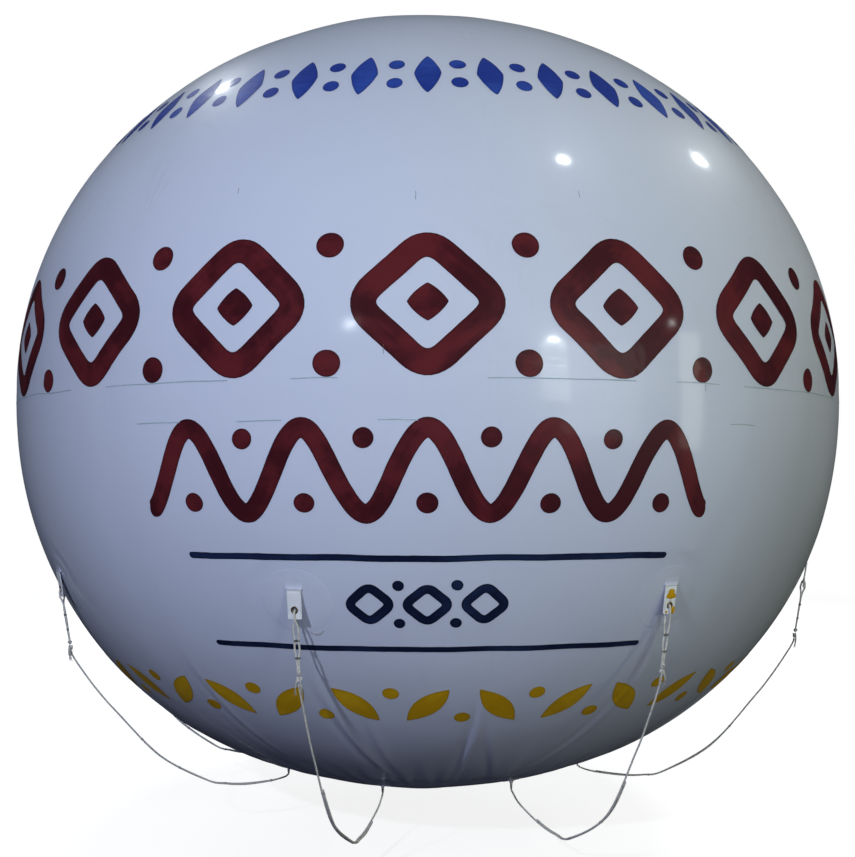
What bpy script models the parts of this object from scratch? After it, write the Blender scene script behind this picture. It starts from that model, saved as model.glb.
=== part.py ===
"""Advertising sky balloon, 12 ft across: a welded film envelope of gores with crown and
belly panels, eight load tabs on round doublers, eight handling ropes and an air valve.

Metres, +Z up.  The origin is the envelope's centre, at its widest level.  The artwork's
centre faces -Y, and an azimuth is counted from -Y towards +X, seen from above.
"""
from math import asin, cos, hypot, pi, radians, sin

import bmesh
import bpy
from mathutils import Matrix, Vector

# Envelope: a superellipse turned about Z
WIDE_RADIUS = 1.83
CROWN_HEIGHT = 1.687
BELLY_DEPTH = 1.729
CROWN_POWER = 2.02
BELLY_POWER = 2.153
FILM = 0.010
SEAM_GAP = 0.0003

SHARP_ANGLE = radians(35)

# Panels
GORES = 8
GORE_COLUMNS = 6
GORE_ROWS = 10
CROWN_PANEL_RADIUS = 0.36
BELLY_PANEL_RADIUS = 0.80
ROUND_SIDES = GORES * GORE_COLUMNS

# Load tabs
TAB_AZIMUTH = radians(-15.2)
TAB_STEP = radians(45)
HINGE_HEIGHT = -0.744
HINGE_LIFT = 0.007
DOUBLER_RADIUS = 0.124
DOUBLER_CENTRE_BELOW_HINGE = 0.048
DOUBLER_THICKNESS = 0.002
DOUBLER_RINGS = 2
DOUBLER_SIDES = 20
STRIP_WIDTH = 0.060
STRIP_TALL = 0.026
TAB_WIDTH = 0.050
TAB_LENGTH = 0.098
TAB_THICKNESS = 0.004
TAB_LEAN = radians(10)
HOLE_RADIUS = 0.008
HOLE_BELOW_HINGE = 0.067
HOLE_SIDES = 16

# Ropes
ROPE_RADIUS = 0.003
HANGER_LENGTH = 0.238
HANGER_PARTS_BY = 0.012
HANGER_CLOSES_BY = 0.030
HANGER_CLOSED_BY = 0.045
KNOT_RADIUS = 0.010
KNOT_TALL = 0.026
KNOT_SIDES = 10
LUG_RADIUS = 0.011
LUG_TALL = 0.020
LUG_END_RADIUS = 0.004
LUG_SIDES = 10
LUG_FROM_AXIS = 0.697
ROPE_POINTS = 34
ROPE_END_STRAIGHT = 0.014
# Each rope's route from its knot to its belly lug, as (distance from the axis, height),
# once drawn up close to the belly and once hanging in a full loop
SNUG_ROUTE = [(1.604, -1.112), (1.520, -1.200), (1.420, -1.285), (1.220, -1.430),
              (1.050, -1.535), (0.970, -1.575), (0.890, -1.610), (0.790, -1.650), (0.725, -1.668)]
SLACK_ROUTE = [(1.616, -1.116), (1.559, -1.2285), (1.4915, -1.346), (1.318, -1.603),
               (1.094, -1.740), (0.997, -1.751), (0.897, -1.740), (0.7655, -1.703), (0.711, -1.6715)]
ROPE_SLACK = [1.0, 1.08, 0.62, 0.80, 0.70, 0.85, 0.66, 0.50]

# Air valve under the belly
VALVE_HOLE_RADIUS = 0.022
VALVE_FLANGE_RADIUS = 0.056
VALVE_FLANGE_TALL = 0.003
VALVE_NECK_RADIUS = 0.024
VALVE_NECK_TALL = 0.022
VALVE_BORE_RADIUS = 0.016
VALVE_COLLAR_INSIDE = 0.004
VALVE_SIDES = 24
CAP_RADIUS = 0.030
CAP_CLEARANCE = 0.0005
CAP_TALL = 0.024
WELD_DISTANCE = 0.00001

# Colours, roughness and metallic value
FILM_WHITE = (0.62, 0.67, 0.74, 0.22, 0.0)
DOUBLER_WHITE = (0.66, 0.70, 0.76, 0.30, 0.0)
TAB_WHITE = (0.70, 0.72, 0.76, 0.38, 0.0)
ROPE_CREAM = (0.66, 0.64, 0.58, 0.85, 0.0)
VALVE_BLUE = (0.10, 0.13, 0.20, 0.45, 0.0)


def clear_scene():
    for obj in list(bpy.data.objects):
        bpy.data.objects.remove(obj, do_unlink=True)


def make_material(name, look):
    material = bpy.data.materials.new(name)
    material.use_nodes = True
    shader = material.node_tree.nodes["Principled BSDF"]
    shader.inputs["Base Color"].default_value = (look[0], look[1], look[2], 1.0)
    shader.inputs["Roughness"].default_value = look[3]
    shader.inputs["Metallic"].default_value = look[4]
    return material


def link(name, data, material, parent=None, place=None):
    obj = bpy.data.objects.new(name, data)
    bpy.context.scene.collection.objects.link(obj)
    if data is not None and material is not None and not data.materials:
        data.materials.append(material)
    if parent is not None:
        obj.parent = parent
    if place is not None:
        obj.matrix_local = place
    return obj


def mesh_from(name, vertices, faces, smooth=True):
    mesh = bpy.data.meshes.new(name)
    mesh.from_pydata(vertices, [], faces)
    work = bmesh.new()
    work.from_mesh(mesh)
    bmesh.ops.recalc_face_normals(work, faces=work.faces)
    work.to_mesh(mesh)
    work.free()
    if smooth:
        mesh.shade_smooth()
        mesh.set_sharp_from_angle(angle=SHARP_ANGLE)
    return mesh


# The envelope's outline

def outline_at(angle):
    """Distance from the axis and height of the skin, for an angle from belly to crown."""
    if angle > 0:
        height, power = CROWN_HEIGHT, CROWN_POWER
        lift = sin(angle) ** (2 / power) * height
    else:
        height, power = BELLY_DEPTH, BELLY_POWER
        lift = -(sin(-angle) ** (2 / power)) * height
    return WIDE_RADIUS * max(cos(angle), 0.0) ** (2 / power), lift


def radius_at(height):
    """Distance of the skin from the axis at a height."""
    if height > 0:
        return WIDE_RADIUS * (1 - (height / CROWN_HEIGHT) ** CROWN_POWER) ** (1 / CROWN_POWER)
    return WIDE_RADIUS * (1 - (-height / BELLY_DEPTH) ** BELLY_POWER) ** (1 / BELLY_POWER)


def height_at(radius, crown):
    """Height of the skin at a distance from the axis, in its upper or its lower half."""
    if crown:
        return CROWN_HEIGHT * (1 - (radius / WIDE_RADIUS) ** CROWN_POWER) ** (1 / CROWN_POWER)
    return -BELLY_DEPTH * (1 - (radius / WIDE_RADIUS) ** BELLY_POWER) ** (1 / BELLY_POWER)


def outward(radius, height):
    """The skin's normal there, as (away from the axis, up)."""
    if height > 0:
        power, tall = CROWN_POWER, CROWN_HEIGHT
    else:
        power, tall = BELLY_POWER, BELLY_DEPTH
    away = (radius / WIDE_RADIUS) ** (power - 1) / WIDE_RADIUS
    up = (abs(height) / tall) ** (power - 1) / tall
    size = hypot(away, up)
    return away / size, (up if height > 0 else -up) / size


def meridian(start, end, rows):
    """Evenly spaced (radius, height) points along the outline between two of its angles."""
    fine = 400
    curve = [outline_at(start + (end - start) * i / fine) for i in range(fine + 1)]
    run = [0.0]
    for a, b in zip(curve, curve[1:]):
        run.append(run[-1] + hypot(b[0] - a[0], b[1] - a[1]))
    points = []
    k = 0
    for row in range(rows + 1):
        want = run[-1] * row / rows
        while k < fine - 1 and run[k + 1] < want:
            k += 1
        part = (want - run[k]) / (run[k + 1] - run[k])
        a, b = curve[k], curve[k + 1]
        points.append((a[0] + (b[0] - a[0]) * part, a[1] + (b[1] - a[1]) * part))
    return points


def angle_for_radius(radius, crown):
    """The outline angle where the skin is this far from the axis."""
    power = CROWN_POWER if crown else BELLY_POWER
    angle = pi / 2 - asin(min(1.0, (radius / WIDE_RADIUS) ** (power / 2)))
    return angle if crown else -angle


def around(radius, height, azimuth):
    return Vector((radius * sin(azimuth), -radius * cos(azimuth), height))


def pushed_in(radius, height, depth):
    away, up = outward(radius, height)
    return radius - away * depth, height - up * depth


# Envelope pieces

def gore_panel(name, azimuth, start, end, material):
    """Half a gore, from the widest level to the crown or belly panel."""
    rows = meridian(start, end, GORE_ROWS)
    vertices = []
    for depth in (0.0, FILM):
        for radius, height in rows:
            r, z = pushed_in(radius, height, depth)
            half = pi / GORES - asin(SEAM_GAP / 2 / r)
            for column in range(GORE_COLUMNS + 1):
                turn = azimuth + half * (2 * column / GORE_COLUMNS - 1)
                vertices.append(around(r, z, turn))
    wide = GORE_COLUMNS + 1
    layer = wide * (GORE_ROWS + 1)
    faces = []
    for row in range(GORE_ROWS):
        for column in range(GORE_COLUMNS):
            a = row * wide + column
            faces.append((a, a + 1, a + wide + 1, a + wide))
            faces.append((layer + a, layer + a + wide, layer + a + wide + 1, layer + a + 1))
    rim = [c for c in range(wide)]
    rim += [row * wide + wide - 1 for row in range(1, GORE_ROWS + 1)]
    rim += [GORE_ROWS * wide + c for c in range(wide - 2, -1, -1)]
    rim += [row * wide for row in range(GORE_ROWS - 1, 0, -1)]
    for a, b in zip(rim, rim[1:] + rim[:1]):
        faces.append((a, b, layer + b, layer + a))
    return link(name, mesh_from(name, vertices, faces), material)


def end_panel_mesh(name, inner_radius, outer_radius, rings, crown):
    """A round end panel; with no inner radius it closes at the pole."""
    vertices = []
    faces = []
    radii = [inner_radius + (outer_radius - inner_radius) * i / rings for i in range(rings + 1)]
    if inner_radius == 0:
        radii = radii[1:]
    for depth in (0.0, FILM):
        for radius in radii:
            r, z = pushed_in(radius, height_at(radius, crown), depth)
            if radius == radii[0] and inner_radius > 0:
                r = radius
            for side in range(ROUND_SIDES):
                vertices.append(around(r, z, TAB_AZIMUTH + 2 * pi * side / ROUND_SIDES))
    layer = ROUND_SIDES * len(radii)
    for ring in range(len(radii) - 1):
        for side in range(ROUND_SIDES):
            a = ring * ROUND_SIDES + side
            b = ring * ROUND_SIDES + (side + 1) % ROUND_SIDES
            faces.append((a, b, b + ROUND_SIDES, a + ROUND_SIDES))
            faces.append((layer + a, layer + a + ROUND_SIDES, layer + b + ROUND_SIDES, layer + b))
    last = (len(radii) - 1) * ROUND_SIDES
    for side in range(ROUND_SIDES):
        a, b = last + side, last + (side + 1) % ROUND_SIDES
        faces.append((a, b, layer + b, layer + a))
        if inner_radius > 0:
            a, b = side, (side + 1) % ROUND_SIDES
            faces.append((a, layer + a, layer + b, b))
    if inner_radius == 0:
        faces.append(tuple(range(ROUND_SIDES)))
        faces.append(tuple(range(layer, layer + ROUND_SIDES)))
    return mesh_from(name, vertices, faces)


def crown_panel(material):
    mesh = end_panel_mesh("crown_panel", 0, CROWN_PANEL_RADIUS - SEAM_GAP, 3, crown=True)
    return link("crown_panel", mesh, material)


def belly_panel(material):
    """The bottom panel with the valve's hole and eight small rope lugs."""
    hole = VALVE_HOLE_RADIUS + SEAM_GAP
    mesh = end_panel_mesh("belly_panel", hole, BELLY_PANEL_RADIUS - SEAM_GAP, 5, crown=False)
    panel = link("belly_panel", mesh, material)
    lugs = bmesh.new()
    top = height_at(LUG_FROM_AXIS, crown=False) + FILM / 2
    bottom = lug_bottom()
    for k in range(GORES):
        at = around(LUG_FROM_AXIS, (top + bottom) / 2, TAB_AZIMUTH + k * TAB_STEP)
        bmesh.ops.create_cone(lugs, cap_ends=True, segments=LUG_SIDES, radius1=LUG_END_RADIUS,
                              radius2=LUG_RADIUS, depth=top - bottom, matrix=Matrix.Translation(at))
    mesh = bpy.data.meshes.new("belly_lugs")
    lugs.to_mesh(mesh)
    lugs.free()
    helper = link("belly_lugs", mesh, material)
    helper.hide_render = True
    helper.display_type = "WIRE"
    join = panel.modifiers.new("lugs", "BOOLEAN")
    join.operation = "UNION"
    join.object = helper
    return panel


def lug_bottom():
    return height_at(LUG_FROM_AXIS, crown=False) - LUG_TALL


# Load tabs: each is built at azimuth 0, where outward is -Y, and copied by turning

def hinge_place():
    """The hinge's (radius, height) and the skin's downward slope there."""
    radius = radius_at(HINGE_HEIGHT)
    away, up = outward(radius, HINGE_HEIGHT)
    return (radius + away * HINGE_LIFT, HINGE_HEIGHT + up * HINGE_LIFT), (away, up)


def on_skin(across, down, lift):
    """A point near the tab: across it, down the skin from the hinge and off the skin."""
    radius = radius_at(HINGE_HEIGHT)
    away, up = outward(radius, HINGE_HEIGHT)
    height = HINGE_HEIGHT - away * down
    radius = radius_at(height)
    away, up = outward(radius, height)
    return around(radius + away * lift, height + up * lift, across / radius)


def doubler_mesh():
    """A round film doubler that follows the skin, with the tab's weld strip on it."""
    work = bmesh.new()
    rings, sides = DOUBLER_RINGS, DOUBLER_SIDES
    layers = []
    for lift in (SEAM_GAP, SEAM_GAP + DOUBLER_THICKNESS):
        rows = [[work.verts.new(on_skin(0, DOUBLER_CENTRE_BELOW_HINGE, lift))]]
        for ring in range(1, rings + 1):
            size = DOUBLER_RADIUS * ring / rings
            row = []
            for side in range(sides):
                turn = 2 * pi * side / sides
                down = DOUBLER_CENTRE_BELOW_HINGE + size * cos(turn)
                row.append(work.verts.new(on_skin(size * sin(turn), down, lift)))
            rows.append(row)
        layers.append(rows)
    for rows in layers:
        for side in range(sides):
            after = (side + 1) % sides
            work.faces.new((rows[0][0], rows[1][side], rows[1][after]))
            for ring in range(1, rings):
                work.faces.new((rows[ring][side], rows[ring + 1][side],
                                rows[ring + 1][after], rows[ring][after]))
    for side in range(sides):
        after = (side + 1) % sides
        work.faces.new((layers[0][rings][side], layers[0][rings][after],
                        layers[1][rings][after], layers[1][rings][side]))
    bmesh.ops.recalc_face_normals(work, faces=work.faces)
    mesh = bpy.data.meshes.new("doubler_disc")
    work.to_mesh(mesh)
    work.free()
    return mesh


def strip_mesh():
    """The weld strip above the hinge: a wedge that thickens down to the hinge."""
    half = STRIP_WIDTH / 2
    low = -TAB_THICKNESS / 2 - SEAM_GAP
    base = SEAM_GAP + DOUBLER_THICKNESS / 2
    corners = [(low - STRIP_TALL, base), (low, base),
               (low, HINGE_LIFT + TAB_THICKNESS / 2), (low - STRIP_TALL, base + DOUBLER_THICKNESS)]
    vertices = [on_skin(side * half, down, lift) for side in (-1, 1) for down, lift in corners]
    faces = [(0, 1, 2, 3), (7, 6, 5, 4)]
    faces += [(i, 4 + i, 4 + (i + 1) % 4, (i + 1) % 4) for i in range(4)]
    return mesh_from("weld_strip", vertices, faces, smooth=False)


def merged(name, base, tool, operation):
    """One mesh from a Boolean of two, so that its eight copies can share it."""
    body = bpy.data.objects.new("base", base)
    other = bpy.data.objects.new("tool", tool)
    for obj in (body, other):
        bpy.context.scene.collection.objects.link(obj)
    change = body.modifiers.new("merge", "BOOLEAN")
    change.operation = operation
    change.object = other
    view = bpy.context.evaluated_depsgraph_get()
    mesh = bpy.data.meshes.new_from_object(body.evaluated_get(view))
    mesh.name = name
    for obj in (body, other):
        bpy.data.objects.remove(obj, do_unlink=True)
    mesh.shade_smooth()
    mesh.set_sharp_from_angle(angle=SHARP_ANGLE)
    return mesh


def leaning(down, out, across=0.0):
    """A point of the tab, counted from its hinge: down its length and off its outer face."""
    return Vector((across, -out * cos(TAB_LEAN) + down * sin(TAB_LEAN),
                   -out * sin(TAB_LEAN) - down * cos(TAB_LEAN)))


def tab_mesh():
    """The tab: a flat strap with a round upper edge at the hinge and an eyelet hole."""
    half = TAB_THICKNESS / 2
    turns = 6
    side = [(-half * sin(pi * i / turns), half * cos(pi * i / turns)) for i in range(turns + 1)]
    side += [(TAB_LENGTH, -half), (TAB_LENGTH, half)]
    count = len(side)
    vertices = [leaning(down, out, x) for x in (-TAB_WIDTH / 2, TAB_WIDTH / 2) for down, out in side]
    faces = [tuple(range(count)), tuple(range(2 * count - 1, count - 1, -1))]
    faces += [(i, count + i, count + (i + 1) % count, (i + 1) % count) for i in range(count)]
    strap = mesh_from("strap", vertices, faces, smooth=False)
    cutter = bmesh.new()
    through = Matrix.Translation(leaning(HOLE_BELOW_HINGE, 0)) @ Matrix.Rotation(pi / 2 + TAB_LEAN, 4, "X")
    bmesh.ops.create_cone(cutter, cap_ends=True, segments=HOLE_SIDES, radius1=HOLE_RADIUS,
                          radius2=HOLE_RADIUS, depth=5 * TAB_THICKNESS, matrix=through)
    hole = bpy.data.meshes.new("hole")
    cutter.to_mesh(hole)
    cutter.free()
    return merged("tab", strap, hole, "DIFFERENCE")


# Ropes

def smooth_route(points, count):
    """Points of a smooth curve through the route's own points, evenly spaced along it."""
    pts = [Vector(p) for p in points]
    ends = [2 * pts[0] - pts[1]] + pts + [2 * pts[-1] - pts[-2]]
    fine = []
    steps = 24
    for i in range(1, len(ends) - 2):
        p0, p1, p2, p3 = ends[i - 1], ends[i], ends[i + 1], ends[i + 2]
        for s in range(steps):
            t = s / steps
            fine.append(0.5 * (2 * p1 + (p2 - p0) * t + (2 * p0 - 5 * p1 + 4 * p2 - p3) * t ** 2
                               + (3 * p1 - p0 - 3 * p2 + p3) * t ** 3))
    fine.append(pts[-1])
    run = [0.0]
    for a, b in zip(fine, fine[1:]):
        run.append(run[-1] + (b - a).length)
    out = []
    k = 0
    for i in range(count):
        want = run[-1] * i / (count - 1)
        while k < len(fine) - 2 and run[k + 1] < want:
            k += 1
        part = (want - run[k]) / max(run[k + 1] - run[k], 1e-9)
        out.append(fine[k].lerp(fine[k + 1], min(part, 1.0)))
    return out


def rope_curve(name, points):
    curve = bpy.data.curves.new(name, "CURVE")
    curve.dimensions = "3D"
    curve.bevel_depth = ROPE_RADIUS
    curve.bevel_resolution = 2
    curve.use_fill_caps = True
    line = curve.splines.new("POLY")
    line.points.add(len(points) - 1)
    for point, place in zip(line.points, points):
        point.co = (place[0], place[1], place[2], 1.0)
    return curve


def knot_bottom():
    """The end of a hanger's knot, counted from the hinge."""
    return leaning(HOLE_BELOW_HINGE + HANGER_LENGTH + KNOT_TALL / 2, 0)


def hanger_mesh():
    """The rope doubled through the eyelet, with the knot that closes it."""
    web = HOLE_BELOW_HINGE + HOLE_RADIUS
    bend = TAB_THICKNESS / 2 + SEAM_GAP + ROPE_RADIUS
    close = ROPE_RADIUS + SEAM_GAP
    knot = HOLE_BELOW_HINGE + HANGER_LENGTH
    turns = 8
    front = [(knot - (knot - web) * part, close) for part in (0, 0.3, 0.55)]
    front += [(web + HANGER_CLOSED_BY, close + SEAM_GAP), (web + HANGER_CLOSES_BY, bend),
              (web + HANGER_PARTS_BY, bend)]
    arch = [(web - bend * sin(pi * i / turns), bend * cos(pi * i / turns)) for i in range(turns + 1)]
    back = [(down, -out) for down, out in reversed(front)]
    path = [leaning(down, out) for down, out in front + arch + back]
    tube = bpy.data.objects.new("tube", rope_curve("tube", path))
    bpy.context.scene.collection.objects.link(tube)
    view = bpy.context.evaluated_depsgraph_get()
    strands = bpy.data.meshes.new_from_object(tube.evaluated_get(view))
    bpy.data.objects.remove(tube, do_unlink=True)
    return merged("hanger", strands, knot_mesh(knot), "UNION")


def knot_mesh(down):
    """A turned knot with a flat lower end, where the rope leaves it."""
    sides = KNOT_SIDES
    half = KNOT_TALL / 2
    rings = [(-half, 0.35), (-0.6 * half, 0.8), (0.0, 1.0), (0.6 * half, 0.8), (half, 0.42)]
    vertices = []
    for along, size in rings:
        for side in range(sides):
            turn = 2 * pi * side / sides
            vertices.append(leaning(down + along, KNOT_RADIUS * size * cos(turn),
                                    KNOT_RADIUS * size * sin(turn)))
    faces = [tuple(range(sides)), tuple(range(len(rings) * sides - 1, (len(rings) - 1) * sides - 1, -1))]
    for ring in range(len(rings) - 1):
        for side in range(sides):
            a, b = ring * sides + side, ring * sides + (side + 1) % sides
            faces.append((a, b, b + sides, a + sides))
    return mesh_from("knot", vertices, faces)


def rope_route(slack):
    """A rope from under its knot to under its belly lug, at azimuth 0."""
    (radius, height), _ = hinge_place()
    straight = leaning(1, 0)
    start = Vector((0, -radius, height)) + knot_bottom() + straight * SEAM_GAP
    end = Vector((0, -LUG_FROM_AXIS, lug_bottom() - SEAM_GAP))
    route = [start + straight * ROPE_END_STRAIGHT]
    for (r0, z0), (r1, z1) in zip(SNUG_ROUTE, SLACK_ROUTE):
        route.append(Vector((0, -(r0 + (r1 - r0) * slack), z0 + (z1 - z0) * slack)))
    route.append(end - Vector((0, 0, ROPE_END_STRAIGHT)))
    return [start] + smooth_route(route, ROPE_POINTS - 2) + [end]


# Air valve

def turned(name, outline, material):
    """A (radius, height) outline turned about Z; a stretch that runs along the axis is left out."""
    mesh = bpy.data.meshes.new(name)
    count = len(outline)
    edges = [(i, (i + 1) % count) for i in range(count)]
    edges = [(a, b) for a, b in edges if outline[a][0] > 0 or outline[b][0] > 0]
    mesh.from_pydata([(r, 0, z) for r, z in outline], edges, [])
    obj = link(name, mesh, material)
    turn = obj.modifiers.new("turn", "SCREW")
    turn.steps = VALVE_SIDES
    turn.render_steps = VALVE_SIDES
    turn.use_merge_vertices = True
    turn.merge_threshold = WELD_DISTANCE
    return obj


def belly_face():
    """Height of the belly panel's outer face beside the valve hole."""
    return height_at(VALVE_HOLE_RADIUS + SEAM_GAP, crown=False)


def valve(material):
    face = belly_face() - SEAM_GAP
    flange = face - VALVE_FLANGE_TALL
    end = flange - VALVE_NECK_TALL
    inside = face + FILM + VALVE_COLLAR_INSIDE
    outline = [(VALVE_HOLE_RADIUS, inside), (VALVE_HOLE_RADIUS, face), (VALVE_FLANGE_RADIUS, face),
               (VALVE_FLANGE_RADIUS, flange), (VALVE_NECK_RADIUS, flange), (VALVE_NECK_RADIUS, end),
               (VALVE_BORE_RADIUS, end), (VALVE_BORE_RADIUS, inside)]
    return turned("valve_body", outline, material)


def valve_cap(material):
    """A cup over the valve's neck, with its origin on its rim."""
    neck = VALVE_NECK_TALL
    rim = belly_face() - VALVE_FLANGE_TALL - 2 * SEAM_GAP
    inner = VALVE_NECK_RADIUS + CAP_CLEARANCE
    outline = [(CAP_RADIUS, 0), (CAP_RADIUS, -CAP_TALL - SEAM_GAP), (0, -CAP_TALL - SEAM_GAP),
               (0, -neck), (inner, -neck), (inner, 0)]
    cap = turned("valve_cap", outline, material)
    cap.location = (0, 0, rim)
    return cap


def build():
    clear_scene()
    film = make_material("film", FILM_WHITE)
    doubler_look = make_material("doubler", DOUBLER_WHITE)
    tab_look = make_material("tab", TAB_WHITE)
    rope_look = make_material("rope", ROPE_CREAM)
    valve_look = make_material("valve", VALVE_BLUE)

    crown_edge = angle_for_radius(CROWN_PANEL_RADIUS, True)
    belly_edge = angle_for_radius(BELLY_PANEL_RADIUS, False)
    seam = SEAM_GAP / 2 / WIDE_RADIUS
    for k in range(GORES):
        azimuth = TAB_AZIMUTH + k * TAB_STEP
        gore_panel(f"upper_gore_{k + 1}", azimuth, seam, crown_edge, film)
        gore_panel(f"lower_gore_{k + 1}", azimuth, -seam, belly_edge, film)
    crown_panel(film)
    belly_panel(film)

    doubler = merged("doubler", doubler_mesh(), strip_mesh(), "UNION")
    tab = tab_mesh()
    hanger = hanger_mesh()
    (radius, height), _ = hinge_place()
    for k in range(GORES):
        azimuth = TAB_AZIMUTH + k * TAB_STEP
        turn = Matrix.Rotation(azimuth, 4, "Z")
        link(f"doubler_{k + 1}", doubler, doubler_look, place=turn)
        hinge = link(f"tab_hinge_{k + 1}", None, None)
        hinge.matrix_local = Matrix.Translation(around(radius, height, azimuth)) @ turn
        link(f"load_tab_{k + 1}", tab, tab_look, parent=hinge)
        link(f"hanger_{k + 1}", hanger, rope_look, parent=hinge)
        link(f"rope_{k + 1}", rope_curve(f"rope_{k + 1}", rope_route(ROPE_SLACK[k])), rope_look, place=turn)
    valve(valve_look)
    valve_cap(valve_look)


build()
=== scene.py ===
"""Advertising sky balloon: its film, welds, paint, tabs, ropes and valve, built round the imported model.

Metres, +Z up, in the model's own frame.  An azimuth is counted from -Y towards +X, and a run is a
distance up the skin's outline from the widest level.
"""
from math import ceil, cos, pi, radians, sin, sqrt

import bpy
import numpy as np
from mathutils import Matrix, Vector, noise


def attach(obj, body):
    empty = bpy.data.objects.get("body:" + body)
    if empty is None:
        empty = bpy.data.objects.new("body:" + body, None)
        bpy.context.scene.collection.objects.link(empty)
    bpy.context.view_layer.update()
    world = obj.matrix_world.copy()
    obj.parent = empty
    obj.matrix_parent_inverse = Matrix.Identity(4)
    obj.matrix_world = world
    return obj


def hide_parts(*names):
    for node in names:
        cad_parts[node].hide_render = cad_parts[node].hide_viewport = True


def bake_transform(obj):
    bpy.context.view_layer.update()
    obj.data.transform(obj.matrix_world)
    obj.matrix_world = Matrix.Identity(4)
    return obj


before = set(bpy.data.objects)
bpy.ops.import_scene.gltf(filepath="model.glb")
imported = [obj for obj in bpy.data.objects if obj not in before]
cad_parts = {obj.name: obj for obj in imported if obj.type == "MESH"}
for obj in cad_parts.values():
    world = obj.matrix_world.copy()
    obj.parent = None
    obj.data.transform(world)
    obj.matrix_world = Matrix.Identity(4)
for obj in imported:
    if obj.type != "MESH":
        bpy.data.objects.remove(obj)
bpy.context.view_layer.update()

# Envelope
WIDE_RADIUS = 1.83
CROWN_HEIGHT = 1.687
BELLY_DEPTH = 1.729
CROWN_POWER = 2.02
BELLY_POWER = 2.153
GORES = 8
CROWN_PANEL_RADIUS = 0.36
BELLY_PANEL_RADIUS = 0.80
VALVE_HOLE_RADIUS = 0.0223
FILM_CELL = 0.0175

# Tabs
FIRST_AZIMUTH = radians(-15.2)
STEP = radians(45)
HINGE_HEIGHT = -0.744
HINGE_LIFT = 0.007
DOUBLER_RADIUS = 0.124
DOUBLER_BELOW_HINGE = 0.048
STRIP_WIDTH = 0.060
STRIP_TALL = 0.026
TAB_WIDTH = 0.050
TAB_LENGTH = 0.098
TAB_THICKNESS = 0.004
TAB_LEAN = radians(10)
HOLE_BELOW_HINGE = 0.067
HOLE_RADIUS = 0.008

# Ropes: each hangs from its knot to its lug in one upright plane, along a route of
# (distance from the axis, height) points, once drawn up and once in a full loop
ROPE_DIAMETER = 0.006
KNOT_BELOW_HINGE = 0.305
KNOT_TALL = 0.026
LUG_FROM_AXIS = 0.697
LUG_TALL = 0.020
PATCH_RADIUS = 0.034
SEAM_GAP = 0.0003
ROPE_END_STRAIGHT = 0.014
SNUG_ROUTE = [(1.604, -1.112), (1.520, -1.200), (1.420, -1.285), (1.220, -1.430),
              (1.050, -1.535), (0.970, -1.575), (0.890, -1.610), (0.790, -1.650), (0.725, -1.668)]
SLACK_ROUTE = [(1.616, -1.116), (1.559, -1.2285), (1.4915, -1.346), (1.318, -1.603),
               (1.094, -1.740), (0.997, -1.751), (0.897, -1.740), (0.7655, -1.703), (0.711, -1.6715)]
ROPE_SLACK = [1.0, 1.08, 0.62, 0.80, 0.70, 0.85, 0.66, 0.50]
LAY_PITCH = 0.021
ROPE_STEP = 0.003
DOUBLED_FROM = 0.46
DOUBLED_TO = 1.14

# Studio; the camera is a phone three radii from the balloon's centre, tipped up a little
FLOOR_HEIGHT = -1.87
FLOOR_REACH = 60
CAMERA_PLACE = (0, -5.591, -0.386)
CAMERA_TIP = radians(92.54)
LENS = 49.98
SENSOR = 36
FAR_CLIP = 300


def make_camera():
    data = bpy.data.cameras.new("camera")
    data.sensor_width = SENSOR
    data.lens = LENS
    data.clip_end = FAR_CLIP
    camera = bpy.data.objects.new("camera", data)
    camera.location = CAMERA_PLACE
    camera.rotation_euler = (CAMERA_TIP, 0, 0)
    bpy.context.scene.collection.objects.link(camera)
    bpy.context.scene.camera = camera


# The skin's outline, as a table from the belly's pole to the crown's

def outline_table():
    angle = np.linspace(-pi / 2, pi / 2, 8001)
    power = np.where(angle > 0, CROWN_POWER, BELLY_POWER)
    tall = np.where(angle > 0, CROWN_HEIGHT, BELLY_DEPTH)
    radius = WIDE_RADIUS * np.clip(np.cos(angle), 0, 1) ** (2 / power)
    height = np.sign(angle) * np.abs(np.sin(angle)) ** (2 / power) * tall
    run = np.concatenate([[0], np.cumsum(np.hypot(np.diff(radius), np.diff(height)))])
    return run - np.interp(0, angle, run), radius, height


RUNS, RADII, HEIGHTS = outline_table()


def radius_at(run):
    return np.interp(run, RUNS, RADII)


def height_at(run):
    return np.interp(run, RUNS, HEIGHTS)


def run_at_height(height):
    return float(np.interp(height, HEIGHTS, RUNS))


def run_at_radius(radius, crown):
    upper = RUNS >= 0
    if crown:
        return float(np.interp(-radius, -RADII[upper], RUNS[upper]))
    return float(np.interp(radius, RADII[~upper], RUNS[~upper]))


def outward(radius, height):
    """The skin's normal as (away from the axis, up)."""
    upper = np.asarray(height) > 0
    power = np.where(upper, CROWN_POWER, BELLY_POWER)
    tall = np.where(upper, CROWN_HEIGHT, BELLY_DEPTH)
    away = (radius / WIDE_RADIUS) ** (power - 1) / WIDE_RADIUS
    up = (np.abs(height) / tall) ** (power - 1) / tall * np.sign(height)
    size = np.hypot(away, up)
    return away / size, up / size


# Relief: how far the blown-up film stands off its true outline

SEAM_AZIMUTHS = [FIRST_AZIMUTH + STEP * (k + 0.5) for k in range(GORES)]
TAB_AZIMUTHS = [FIRST_AZIMUTH + STEP * k for k in range(GORES)]
HINGE_RUN = run_at_height(HINGE_HEIGHT)
CROWN_SEAM_RUN = run_at_radius(CROWN_PANEL_RADIUS, True)
BELLY_SEAM_RUN = run_at_radius(BELLY_PANEL_RADIUS, False)


def ridge(distance, width):
    return np.exp(-(distance / width) ** 2)


def turn_between(azimuth, other):
    return (azimuth - other + pi) % (2 * pi) - pi


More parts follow.
